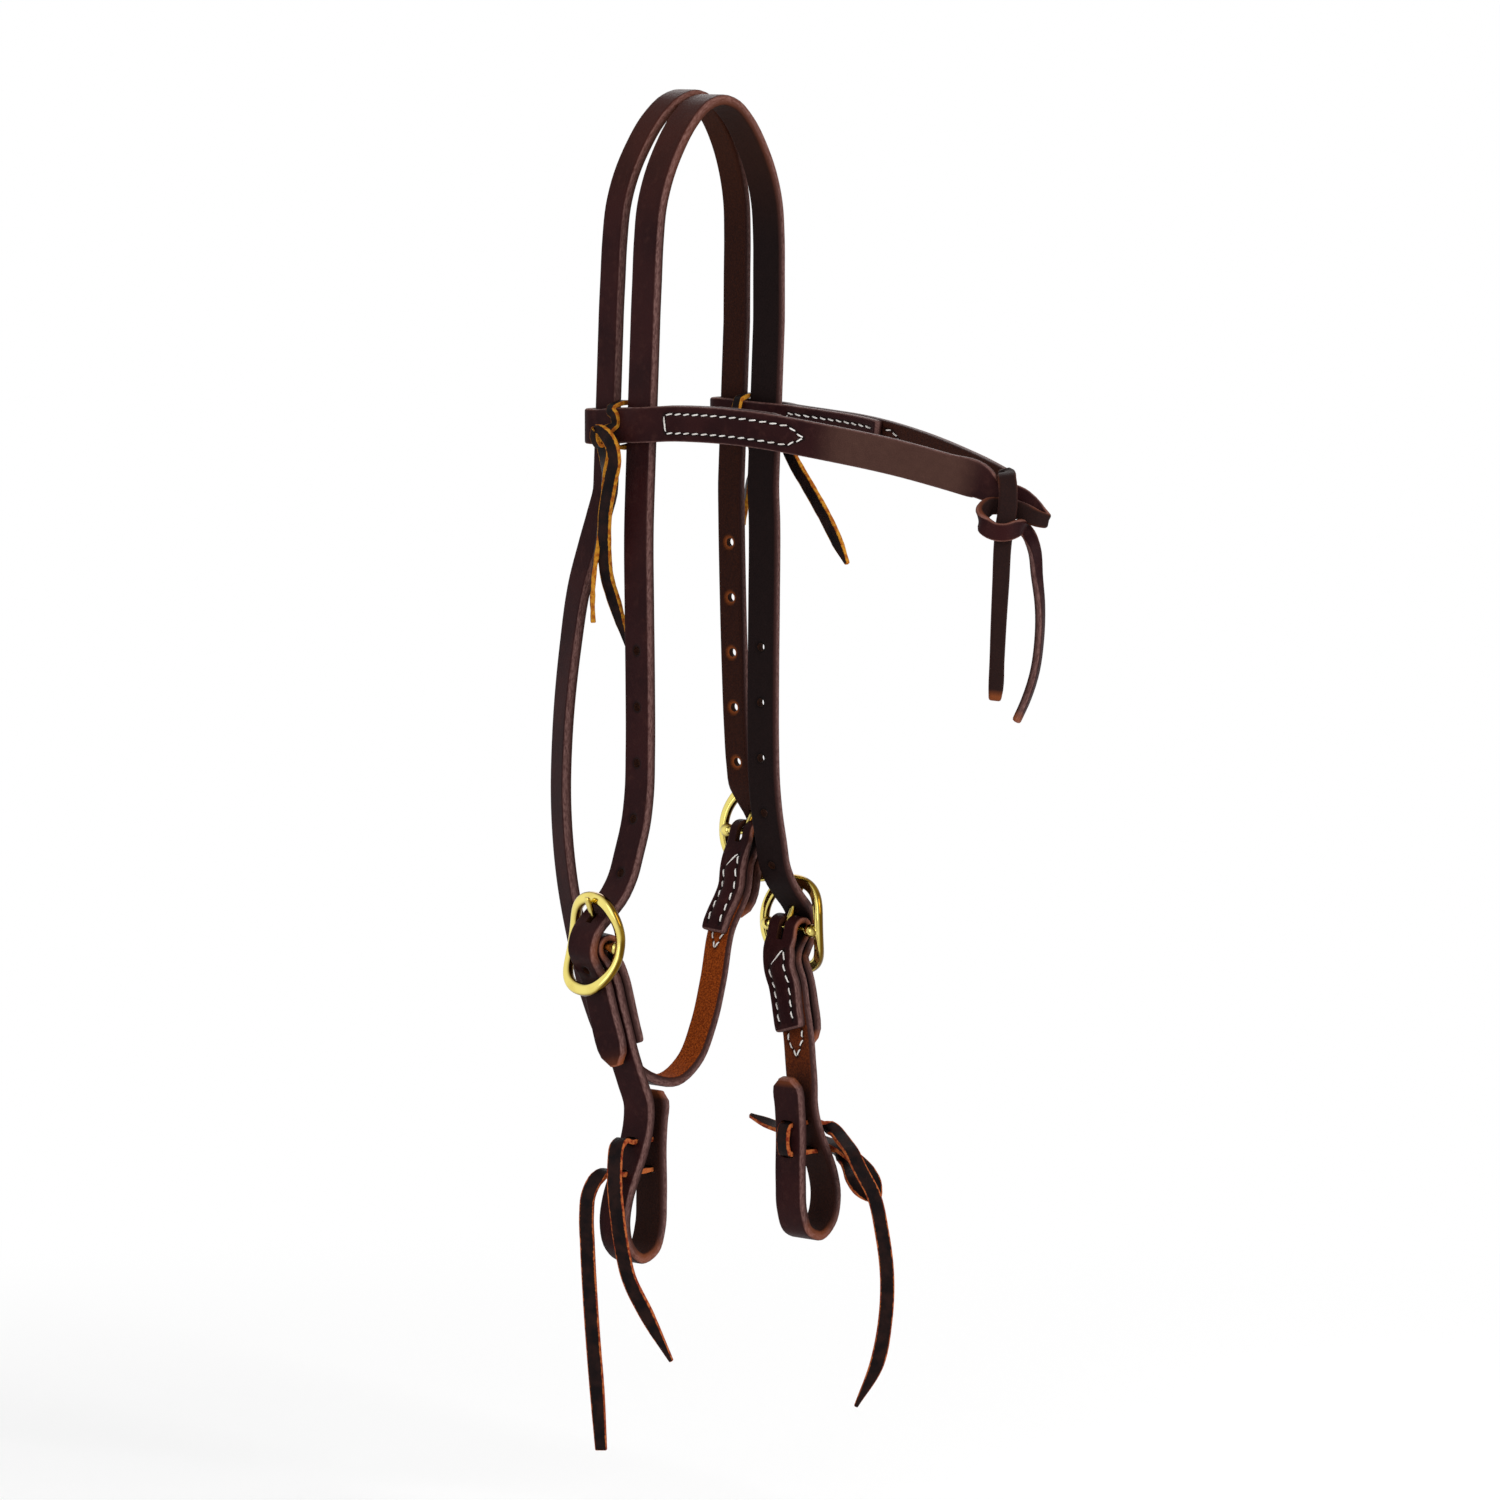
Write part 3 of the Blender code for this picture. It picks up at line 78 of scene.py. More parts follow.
class Wire:
    """A number that runs out of a node. Operators add Math nodes to it."""

    def __init__(self, paint, socket):
        self.paint, self.socket = paint, socket

    def reckon(self, operation, first, second):
        return self.paint.node("ShaderNodeMath", {"operation": operation}, {0: first, 1: second})

    def __add__(self, other):
        return self.reckon("ADD", self, other)

    def __sub__(self, other):
        return self.reckon("SUBTRACT", self, other)

    def __rsub__(self, other):
        return self.reckon("SUBTRACT", other, self)

    def __mul__(self, other):
        return self.reckon("MULTIPLY", self, other)

    __radd__, __rmul__ = __add__, __mul__

    def most(self, other):
        return self.reckon("MAXIMUM", self, other)

    def above(self, low, high):
        """0 up to low, 1 from high on, eased between."""
        return self.paint.node(
            "ShaderNodeMapRange", {"interpolation_type": "SMOOTHSTEP"}, {0: self, 1: low, 2: high}
        )


class Paint:
    """A material's or the world's node tree, ready to have its finish worked out."""

    def __init__(self, owner):
        owner.use_nodes = True
        self.owner, self.tree = owner, owner.node_tree

    def node(self, kind, settings, sockets, out=0):
        made = self.tree.nodes.new(kind)
        for name, value in settings.items():
            setattr(made, name, value)
        self.feed(made, sockets)
        return Wire(self, made.outputs[out])

    def feed(self, node, sockets):
        for name, value in sockets.items():
            socket = node.inputs[name]
            if isinstance(value, Wire):
                self.tree.links.new(value.socket, socket)
            else:
                socket.default_value = (*value, 1) if socket.type == "RGBA" else value

    def blend(self, share, first, second):
        """The first colour, going over to the second as share goes from 0 to 1."""
        return self.node("ShaderNodeMix", {"data_type": "RGBA"}, {0: share, 6: first, 7: second}, 2)

    def place(self):
        return self.node("ShaderNodeTexCoord", {}, {}, "Object")

    def cloud(self, scale, detail=2.0, rough=0.5, at=None):
        """Soft noise from 0 to 1, with about scale blots in a metre."""
        sockets = {"Scale": scale, "Detail": detail, "Roughness": rough}
        return self.node("ShaderNodeTexNoise", {}, {**sockets, "Vector": at or self.place()})

    def mark(self, name):
        """A value that the mesh carries at its points."""
        return self.node("ShaderNodeAttribute", {"attribute_name": name}, {}, "Fac")

    def shade(self, **sockets):
        shader = self.tree.nodes["Principled BSDF"]
        self.feed(shader, {name.replace("_", " "): value for name, value in sockets.items()})
        return self.owner

    def raised(self, height, depth):
        """The surface's normal with a height from 0 to 1 standing up by depth metres."""
        sockets = {"Height": height, "Distance": depth, "Strength": 1.0}
        return self.node("ShaderNodeBump", {}, sockets)


def stand(name, data):
    """A new object in the scene."""
    made = bpy.data.objects.new(name, data)
    scene.collection.objects.link(made)
    return made


toward = Vector(
    (-math.cos(RISE) * math.sin(BEARING), -math.cos(RISE) * math.cos(BEARING), math.sin(RISE))
)
sideways = Vector((math.cos(BEARING), -math.sin(BEARING), 0))
camera = scene.camera = stand("camera", bpy.data.cameras.new("camera"))
camera.data.lens = LENS_MM
camera.matrix_world = Matrix.Translation(AIM + toward * STAND_OFF) @ (
    Matrix((sideways, toward.cross(sideways), toward)).transposed().to_4x4()
)

for name, offset, size, watts in LAMPS:
    lamp = stand(name, bpy.data.lights.new(name, "AREA"))
    lamp.data.energy, lamp.data.size = watts, size
    lamp.location = AIM + Vector(offset)
    lamp.rotation_euler = (-Vector(offset)).to_track_quat("-Z", "Y").to_euler()


def looked_at(paint):
    """1 for the camera and for what it sees mirrored or through glass, and 0 for light."""
    kinds = ("Is Camera Ray", "Is Glossy Ray", "Is Transmission Ray")
    seen = [paint.node("ShaderNodeLightPath", {}, {}, kind) for kind in kinds]
    total = seen[0] + seen[1] + seen[2]
    return total.reckon("MINIMUM", total, 1.0)


scene.world = scene.world or bpy.data.worlds.new("room")
room = Paint(scene.world)
brightness = ROOM_GREY + (1 - ROOM_GREY) * looked_at(room)
room.feed(room.tree.nodes["Background"], {"Color": CARD_WHITE, "Strength": brightness})

card = bpy.data.meshes.new("floor_card")
low = cad_box[0][2] - FLOOR_DROP
corners = [(x * CARD_HALF, y * CARD_HALF, low) for x, y in ((-1, -1), (1, -1), (1, 1), (-1, 1))]
card.from_pydata(corners, [], [(0, 1, 2, 3)])
paper = Paint(bpy.data.materials.new("white_card"))
pale = paper.blend(paper.cloud(0.6), (0.97, 0.97, 0.97), CARD_WHITE)
card.materials.append(paper.shade(Base_Color=pale, Roughness=0.9, Specular_IOR_Level=0.0))
spread = paper.node("ShaderNodeVectorMath", {"operation": "LENGTH"}, {0: paper.place()}, 1)
glow = paper.node("ShaderNodeEmission", {}, {"Color": CARD_WHITE, "Strength": 1.0})
diffuse = Wire(paper, paper.tree.nodes["Principled BSDF"].outputs[0])
share = spread.above(*CARD_FADE) * looked_at(paper)
sheet = paper.node("ShaderNodeMixShader", {}, {0: share, 1: diffuse, 2: glow})
paper.feed(paper.tree.nodes["Material Output"], {"Surface": sheet})
floor = stand("floor_card", card)

# ---------------------------------------------------------------- Bit laces
# Long thongs of dark latigo, cut from a thick side so that their edges show the raw tan. Each goes
# down the inside of its bit loop and out through both layers twice, and its two tails hang.
RIGHT, LEFT = -1, 1
word = {RIGHT: "right", LEFT: "left"}
MM = 0.001
UP = np.array([0.0, 0.0, 1.0])
BACK = np.array([0.0, 1.0, 0.0])
ASIDE = np.array([1.0, 0.0, 0.0])
STRAP_WIDTH = 0.0159
STRAP_THICK = 0.0048
GAP = 0.0003
BIT_DROP = 0.5156
BIT_FORWARD = 0.0120
BIT_INNER_OUT = 0.0462
BIT_LOOP_SPAN = 0.0238
BIT_LOOP_HEIGHT = 0.0680
LACE_HOLE_RISE = 0.0386
LACE_HOLE_PITCH = 0.0140
LACE_HOLE_CLEARANCE = 0.0006
LACE_WIDTH = 0.0066
LACE_THICK = 0.0022
LACE_CORNER = 0.0004
LACE_WAVE = 0.00011
LACE_STEP = 0.0022
LACE_TURN = math.radians(8)
TABLE_STEP = 0.0005
NEAREST_TRIES = 3000
ARC_STEPS = 4
PRESSED_DEPTH = 0.0004
CUT_END_SHARE = 0.2
cheek_sink = {RIGHT: 0.0, LEFT: 0.0040}
# The bit loop: out as a share of its span, and up as a share of its height
bit_loop_shares = (
    (0.336, 1.0), (0.336, 0.93), (0.395, 0.815), (0.517, 0.70), (0.727, 0.553), (0.916, 0.406),
    (1.0, 0.24), (0.885, 0.085), (0.56, 0.0), (0.20, 0.045), (0.035, 0.185), (0.0, 0.376),
    (0.0, 0.78), (-0.03, 0.90),
)
# The tails in mm: out, back and up from the hole where the lace leaves the main layer
upper_tail = {
    RIGHT: (
        (5, 0, 0), (9.5, -1, 1.2), (14.5, -2.5, -0.8), (18.5, -5, -7.5), (20.2, -6.5, -17.5),
        (19.4, -7.5, -32), (16.8, -7.6, -45.7), (14.2, -9, -58.8), (7.6, -14, -76.5),
        (0.0, -22, -97.5),
    ),
    LEFT: (
        (4, 0, 0), (8, -2, -2), (11.0, -7, -4.5), (9.6, -14, -8.5), (7, -22, -13), (5, -29, -20),
        (7, -35, -30.5), (9, -39, -49), (10.5, -40.7, -68), (11, -39, -91), (10, -35, -110),
        (5, -26.7, -130),
    ),
}
lower_tail = {
    RIGHT: (
        (5, 0, 0), (10, 1.5, 1.5), (14, 4, -1), (17, 6.5, -8), (17.5, 7.5, -18), (17, 7.5, -31),
        (16, 7, -53), (15, 6, -75), (13.5, 5, -98), (11, 5, -125),
    ),
    LEFT: (
        (6, -0.5, -0.3), (10.5, -4, -2), (11, -9, -5.5), (8, -14, -8.5), (3.5, -20, -12),
        (2, -27, -16.5), (5.5, -31.5, -18.5), (7.5, -30, -14), (9, -25, -9), (9.5, -15, -3),
        (9, -7, 1), (7, 4, 3.4), (5.8, 13, 5.5), (2.9, 21.1, 6.9), (0.5, 30, 9), (-2, 39, 12),
    ),
}
hang = {RIGHT: (0.5, -0.87, 0), LEFT: (0.68, -0.73, 0)}
pointed_tip_shares = ((2.2, 1), (0.9, 0.72), (0, 0.28))
square_tip_shares = ((0.9, 1), (0.25, 0.95), (0, 0.8))


def unit(v):
    return np.asarray(v, float) / np.linalg.norm(v)


def square_to(v, along):
    """v turned square to along, at length 1."""
    along = unit(along)
    return unit(v - along * (v @ along))


def row(point, across, width=STRAP_WIDTH, thick=STRAP_THICK):
    """A station of a strap: its centre, its width's direction, and half its width and thickness."""
    return np.array([*point, *across, width / 2, thick / 2])


class Line:
    """The line that a strap or rod follows, with its width and thickness all the way."""

    def __init__(self, rows, closed=False):
        rows = np.array([*rows, rows[0]] if closed else rows)
        spans = np.linalg.norm(np.diff(rows[:, :3], axis=0), axis=1)
        slopes = np.diff(rows, axis=0) / spans[:, None]
        inner = slopes[:-1] * spans[1:, None] + slopes[1:] * spans[:-1, None]
        inner /= (spans[1:] + spans[:-1])[:, None]
        ends = [slopes[:1], slopes[-1:]]
        if closed:
            ends = [(slopes[:1] + slopes[-1:]) / 2] * 2
        tangents = np.vstack([ends[0], inner, ends[1]])
        pieces = []
        for a, b, s, da, db in zip(rows, rows[1:], spans, tangents, tangents[1:]):
            t = np.linspace(0, 1, max(4, int(s / TABLE_STEP)), endpoint=False)[:, None]
            pieces.append(
                (1 + 2 * t) * (1 - t) ** 2 * a
                + t * (1 - t) ** 2 * s * da
                + t**2 * (3 - 2 * t) * b
                + t**2 * (t - 1) * s * db
            )
        table = np.vstack([*pieces, rows[-1:]])
        self.closed, self.points = closed, table[:, :3]
        ahead = np.gradient(self.points, axis=0)
        if closed:
            ahead[0] = ahead[-1] = self.points[1] - self.points[-2]
        self.along = ahead / np.linalg.norm(ahead, axis=1)[:, None]
        self.across = np.array([square_to(a, t) for a, t in zip(table[:, 3:6], self.along)])
        self.face = np.cross(self.along, self.across)
        self.half_width, self.half_thick = table[:, 6], table[:, 7]
        steps = np.linalg.norm(np.diff(self.points, axis=0), axis=1)
        self.reach = np.concatenate([[0], np.cumsum(steps)])
        self.length = self.reach[-1]
        turns = np.arccos(np.clip((self.along[1:] * self.along[:-1]).sum(1), -1, 1))
        self.turned = np.concatenate([[0], np.cumsum(turns)])

    def at(self, reach):
        """Centre, direction, width direction, face direction, half width and half thickness."""
        tables = (self.points, self.along, self.across, self.face)
        mix = [
            np.stack([np.interp(reach, self.reach, column) for column in table.T], axis=-1)
            for table in tables
        ]
        sizes = [np.interp(reach, self.reach, size) for size in (self.half_width, self.half_thick)]
        return (*mix, *sizes)

    def nearest(self, point, first=0.0, last=None):
        """The length along it that lies nearest to a point."""
        steps = np.linspace(first, self.length if last is None else last, NEAREST_TRIES)
        return steps[np.linalg.norm(self.at(steps)[0] - point, axis=1).argmin()]

    def stops(self, first, last, step, turn=math.radians(9), fine=()):
        """Lengths for the rings of a mesh: closer where it bends and within the fine stretches."""
        kept, where = [first], np.interp(first, self.reach, self.turned)
        for reach, turned in zip(self.reach, self.turned):
            if not first < reach < last:
                continue
            small = min([s for low, high, s in fine if low < reach < high], default=step)
            if reach - kept[-1] >= min(step, small) or turned - where >= turn:
                kept.append(reach)
                where = turned
        if last - kept[-1] < TABLE_STEP * 0.4:
            kept.pop()
        return np.array([*kept, last])


def outline(corner, across, beside):
    """A flat bar's outline: (wide, thick, corner's across, corner's out) for each of its points."""
    points = []
    for quarter, inside in enumerate((across, beside, across, beside)):
        wide, thick = ((1, 1), (-1, 1), (-1, -1), (1, -1))[quarter]
        for i in range(ARC_STEPS + 1):
            a = math.pi / 2 * (quarter + i / ARC_STEPS)
            points.append((wide, thick, math.cos(a), math.sin(a)))
        for i in range(1, inside + 1):
            share = 1 - 2 * i / (inside + 1)
            spot = ((share, 1, 0, 1), (-1, share, -1, 0), (-share, -1, 0, -1), (1, -share, 1, 0))
            points.append(spot[quarter])
    return np.array(points), corner


def between(a, b, n):
    """The faces from one ring of n points to another, which start at points a and b."""
    return [(a + j, a + (j + 1) % n, b + (j + 1) % n, b + j) for j in range(n)]


def closed_mesh(name, coords, faces, finish):
    """A mesh of one finish, whose faces all look outwards."""
    mesh = bpy.data.meshes.new(name)
    mesh.from_pydata(coords, [], faces)
    mesh.validate()
    turned = bmesh.new()
    turned.from_mesh(mesh)
    bmesh.ops.recalc_face_normals(turned, faces=turned.faces)
    turned.to_mesh(mesh)
    turned.free()
    mesh.materials.append(finish)
    return mesh


def mark_points(mesh, name, values):
    """Gives every point of a mesh a value that its finish can read."""
    if name in mesh.attributes:
        mesh.attributes.remove(mesh.attributes[name])
    made = mesh.attributes.new(name, "FLOAT", "POINT")
    made.data.foreach_set("value", np.asarray(values, np.float32))


def smooth(mesh, sharp_from):
    mesh.shade_smooth()
    mesh.set_sharp_from_angle(angle=math.radians(sharp_from))


def bar_of(name, line, shape, stops, finish, relief=None, cut_off=(False, False)):
    """A strap, lace or rod: a ring of the outline at every stop. Each end is rounded over by two
    more rings, only slightly where it is cut off."""
    points, corner = shape
    n, count = len(points), len(stops)
    over = np.zeros(count)
    if not line.closed:
        stops = stops[[*range(count), 0, 0, -1, -1]]
        over = np.radians([*over, -45, -80, 45, 80])
    centre, along, across, face, wide, thick = line.at(stops)
    radius = np.minimum(corner, thick)
    for end, off in zip((over < 0, over > 0), cut_off):
        if off:
            radius[end] = corner * CUT_END_SHARE
    centre = centre + along * (radius * np.sin(over))[:, None]
    shrunk = radius * (1 - np.cos(over))
    wide, thick, shrunk = wide[:, None], thick[:, None], shrunk[:, None]
    rounds = np.minimum(corner, np.minimum(wide, thick))
    x = (wide - rounds) * points[:, 0] + rounds * points[:, 2]
    y = (thick - rounds) * points[:, 1] + rounds * points[:, 3]
    lift = np.zeros_like(x)
    if relief:
        lift = relief(stops[:, None] * np.ones_like(x), x, points[:, 3])
        y = y + lift * points[:, 3]
    coords = centre[:, None] + across[:, None] * (x * (1 - shrunk / wide))[..., None]
    coords = coords + face[:, None] * (y * (1 - shrunk / thick))[..., None]
    ends = (over != 0)[:, None]
    marks = {
        "edge": np.maximum(np.abs(points[:, 2]) ** 2, ends),
        "side": np.sign(points[:, 1]) * (1 - np.abs(points[:, 2])) * ~ends,
        "reach": stops[:, None] * np.ones_like(x),
        "wide": x,
        "rim": np.abs(x) / wide,
        "groove_shade": np.clip(-lift / PRESSED_DEPTH, 0, 1),
        "through": np.clip(y / thick, -1, 1),
    }
    joins = [(i, i + 1) for i in range(count - 1)]
    if line.closed:
        joins += [(count - 1, 0)]
    else:
        joins += [(count, 0), (count + 1, count), (count - 1, count + 2), (count + 2, count + 3)]
    faces = [face for a, b in joins for face in between(a * n, b * n, n)]
    if not line.closed:
        faces += [tuple(range(ring * n, ring * n + n)) for ring in (count + 1, count + 3)]
    mesh = closed_mesh(name, coords.reshape(-1, 3).tolist(), faces, finish)
    for key, values in marks.items():
        mark_points(mesh, key, values.ravel())
    smooth(mesh, 50)
    return stand(name, mesh)


def seat_on(piece, body, node):
    """Says what a piece rides on and stands for."""
    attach(piece, body)
    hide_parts(node)


def lace_finish(name, edge_colour, edge_dark):
    """Waxed black-brown faces, and raw cut edges that are lighter where the knife opened them."""
    paint = Paint(bpy.data.materials.new(name))
    blots = paint.cloud(160, 4)
    fibres = paint.cloud(2600, 3, 0.6)
    face = paint.blend(blots.above(0.35, 0.7), (0.0045, 0.0024, 0.0026), (0.016, 0.0062, 0.0050))
    raw = paint.blend(paint.cloud(420, 3).above(0.38, 0.60), edge_dark, edge_colour)
    fray = paint.mark("rim") + 0.35 * paint.cloud(700, 4, 0.65)
    cut = paint.mark("edge").above(0.25, 0.7).most(fray.above(0.98, 1.10))
    height = fibres * 0.6 + paint.cloud(900, 2) * 0.4
    return paint.shade(
        Base_Color=paint.blend(cut * 0.5, face, raw),
        Roughness=0.44 + 0.3 * cut + 0.12 * blots,
        Specular_IOR_Level=0.06,
        Normal=paint.raised(height, 0.00016),
    )


bit_lace_finish = lace_finish("bit_lace_latigo", (0.80, 0.210, 0.055), (0.34, 0.040, 0.012))


def bit_point(side, out, up):
    x = side * (BIT_INNER_OUT + BIT_LOOP_SPAN * out)
    return np.array([x, -BIT_FORWARD, -BIT_DROP - cheek_sink[side] + BIT_LOOP_HEIGHT * up])


def bit_hole(side, hole):
    """The middle of a lace hole in the loop's inner layer: 0 is the upper one."""
    return bit_point(side, 0, 0) + UP * (LACE_HOLE_RISE + LACE_HOLE_PITCH * (1 - hole))


def main_out(hole):
    """How far the bit loop's main layer stands out from its inner layer at a lace hole."""
    up = (LACE_HOLE_RISE + LACE_HOLE_PITCH * (1 - hole)) / BIT_LOOP_HEIGHT
    outs, ups = np.array(bit_loop_shares[:7]).T
    return BIT_LOOP_SPAN * np.interp(up, ups[::-1], outs[::-1])


def lace_rows(points, across, width, thick, tip_shares=pointed_tip_shares):
    """Rows along given points, narrowing at the last one."""
    steps = np.linalg.norm(np.diff(np.array(points), axis=0), axis=1)
    reach = np.concatenate([[0], np.cumsum(steps)])
    back, wide = np.array(tip_shares[::-1]).T
    rows = []
    for point, along in zip(points, reach):
        share = np.interp((reach[-1] - along) / width, back, wide)
        rows.append(row(point, across, width * share, thick))
    return rows


def frayed(seed):
    """Uneven knife work: the lace's faces wander a little, the same way every time."""

    def relief(reach, x, out):
        wave = np.sin(reach * 610 + seed) + 0.7 * np.sin(reach * 1490 + 2.3 * seed + x * 500)
        return LACE_WAVE * wave

    return relief


def hang_lace(name, line, exits, body, finish, seed):
    """A lace in three pieces: what is held in the knot or loop, and its two free tails."""
    parts = (
        ("_first_tail", 0, exits[0]), ("_held", *exits), ("_second_tail", exits[1], line.length),
    )
    for ending, low, high in parts:
        stops = line.stops(low, high, LACE_STEP, LACE_TURN)
        cut_off = (low > 0, high < line.length)
        shape = outline(LACE_CORNER, 5, 2)
        piece = bar_of(name + ending, line, shape, stops, finish, frayed(seed), cut_off)
        seat_on(piece, body, name)
        if ending != "_held":
            path = line.at(stops if low else stops[::-1])[0]


for side in (RIGHT, LEFT):
    slack, edge, bend = LACE_HOLE_CLEARANCE - GAP, STRAP_THICK / 2, LACE_THICK
    eased = bend * math.sin(math.pi / 4)
    held, tails = [], []
    for hole, tail in enumerate((upper_tail[side], lower_tail[side])):
        centre = bit_hole(side, hole)
        turn = [
            (main_out(hole) - edge, 0), (edge, slack / 2), (-edge, slack),
            (-edge - eased, slack + bend - eased), (-edge - bend, slack + bend),
        ]
        # The upper run turns down inside the loop and the lower one up to meet it
        heading = UP * (2 * hole - 1)
        run = [centre + side * ASIDE * out + heading * up for out, up in turn]
        run = run[::-1] if hole else run
        held += [row(point, -BACK, LACE_WIDTH, LACE_THICK) for point in run]
        exit_point = centre + side * ASIDE * main_out(hole)
        points = [exit_point + MM * np.array([side * x, y, z]) for x, y, z in tail]
        tip = square_tip_shares if side == RIGHT and hole else pointed_tip_shares
        tails.append(lace_rows(points, -BACK, LACE_WIDTH, LACE_THICK, tip))
        for one in tails[hole][2:]:
            one[3:6] = unit(hang[side])
    lace = Line([*tails[0][::-1], *held, *tails[1]])
    exits = [lace.nearest(one[:3]) for one in (held[0], held[-1])]
    hang_lace(
        word[side] + "_bit_lace", lace, exits, "headstall", bit_lace_finish, side
    )

# ---------------------------------------------------------------- Browband tie laces
# Narrower thongs of the same latigo with bright yellow edges. Each goes once round the browband
# between the side straps and is half knotted on the outside, which keeps the browband's loop shut.
THROAT_WIDTH = 0.0130
BAND_THICK = 0.0040
BAND_CLEARANCE = 0.0006
BAND_DROP = 0.1420
BAND_SAG = 0.0235
HEAD_HALF_WIDTH = 0.0406
ARCH_DROP = 0.1024
STRAIGHT_RUN = 0.0720
STRAIGHT_LEAN = 0.0034
FLARE_ANGLE = math.radians(4)
TIE_TAIL_WIDTH = 0.0067
TIE_PINCHED_WIDTH = 0.0044
TIE_THICK = 0.0021
TIE_CLEARANCE = 0.0001
rear_setback = {RIGHT: 0.0229, LEFT: 0.0188}
# How far the band has sunk at its rear bend, between the side straps and at the front one, as
# shares of its sag
loop_sunk_shares = {RIGHT: (0.1, 0.05, 0.0), LEFT: (0.02, 0.05, 0.08)}
SLIDE_AXIS = unit([0, -STRAIGHT_LEAN, STRAIGHT_RUN])
STRAIGHT_TOP = STRAP_THICK / 2 - ARCH_DROP
STRAIGHT_END = STRAIGHT_TOP - STRAIGHT_RUN
BAND_OUT = STRAP_THICK / 2 + BAND_CLEARANCE + BAND_THICK / 2
tie_knot_front = (((9.8, -1.6, -1.2), 0.6), ((11.4, 1.5, -2.8), 2), ((11.7, 5, -4.8), 1))
tie_knot_back = (
    ((13.4, 1.5, -8.6), 0), ((14.6, 3.2, -4.8), -0.1), ((14.8, 2.4, -2), -0.3),
    ((14.9, 0.2, -1.4), -0.8),
)
short_tail_lift, long_tail_lift = 0.3, -0.5
short_turn, long_turn = -0.85, {RIGHT: 0.15, LEFT: -0.15}
STRAND_ASIDE = -0.0027
short_tail = {
    RIGHT: (
        (10.8, 1.6, -10), (10.5, 0.3, -22), (10, 1.5, -35.5), (9.5, 4.2, -53), (9, 7.0, -68.5),
        (8.5, 7.8, -79.5), (8, 7.4, -89),
    ),
    LEFT: ((10.8, 4.6, -10), (10.5, 5, -22), (10, 7, -35), (9, 8, -50)),
}
long_tail = {
    RIGHT: (
        (14.6, -4.5, -4), (14.2, -8.8, -9.5), (13.5, -9.4, -14), (12.8, -6.6, -24),
        (12.3, -3.2, -38), (10.1, -0.8, -53), (6.6, 0.7, -68), (1.5, 0.2, -81), (-5.0, -2.0, -100),
    ),
    LEFT: (
        (14.7, -3.4, -3.5), (14.4, -9, -9), (13.8, -15.4, -19), (13, -26.4, -32), (12, -37.4, -45),
        (11, -46.4, -57), (10, -52.4, -65),
    ),
}
tie_lace_finish = lace_finish("tie_lace_latigo", (0.95, 0.410, 0.035), (0.58, 0.150, 0.012))


def flared(side, angle=FLARE_ANGLE):
    """The direction of a side strap's width, which turns in towards the back of the head."""
    return np.array([-side * math.sin(angle), math.cos(angle), 0])


def on_straight(side, z, setback, out=0.0):
    """A point on the plane of the side straps' straight runs, or out from it."""
    top = np.array([side * HEAD_HALF_WIDTH, -STRAIGHT_LEAN, STRAIGHT_TOP])
    down = SLIDE_AXIS * (z - STRAIGHT_TOP) / SLIDE_AXIS[2]
    return top + down + flared(side) * setback + side * np.cross(flared(side), SLIDE_AXIS) * out


def tie_line(side):
    """The tie's whole run, and the lengths at which its tails leave the knot."""
    middle_back = (rear_setback[side] + (STRAP_WIDTH - THROAT_WIDTH) / 2) / 2
    middle_z = -BAND_DROP - BAND_SAG * loop_sunk_shares[side][1]
    centre = on_straight(side, middle_z, middle_back)
    back = flared(side)
    out = side * np.cross(back, SLIDE_AXIS)
    face = BAND_OUT + BAND_THICK / 2 + TIE_CLEARANCE + TIE_THICK / 2
    top = STRAP_WIDTH / 2 + TIE_CLEARANCE + TIE_THICK / 2
    eased = TIE_THICK * (1 - math.sin(math.pi / 4))

    def at(o, b, z, lift=0):
        point = centre + out * o + back * b + SLIDE_AXIS * z
        return row(point, back + SLIDE_AXIS * lift, TIE_PINCHED_WIDTH, TIE_THICK)

    def knotted(points):
        return [at(*(MM * np.array(point)), lift) for point, lift in points]

    loop = [at(face, STRAND_ASIDE, 0), at(face, STRAND_ASIDE, top / 2)]
    turn = ((face, top - TIE_THICK), (face - eased, top - eased), (face - TIE_THICK, top))
    for count, (o_sign, z_sign) in enumerate(((1, 1), (-1, 1), (-1, -1), (1, -1))):
        for o, z in turn[::-1] if count % 2 else turn:
            loop.append(at(o * o_sign, 0, z * z_sign))
    tails = []
    hung = ((short_tail, short_tail_lift, short_turn), (long_tail, long_tail_lift, long_turn[side]))
    for tail, lift, turned in hung:
        points = [at(*(MM * np.array(point)))[:3] for point in tail[side]]
        tails.append(lace_rows(points, unit(back - ASIDE * turned), TIE_TAIL_WIDTH, TIE_THICK))
        tails[-1][0][3:6] = unit(back + SLIDE_AXIS * lift)
    front, rear = knotted(tie_knot_front), knotted(tie_knot_back)
    line = Line([*tails[0][::-1], *front[::-1], *loop, *rear, *tails[1]])
    return line, [line.nearest(tail[0][:3]) for tail in tails]


for side in (RIGHT, LEFT):
    tie, exits = tie_line(side)
    name = word[side] + "_browband_tie_lace"
    hang_lace(name, tie, exits, "browband", tie_lace_finish, 2 + side)

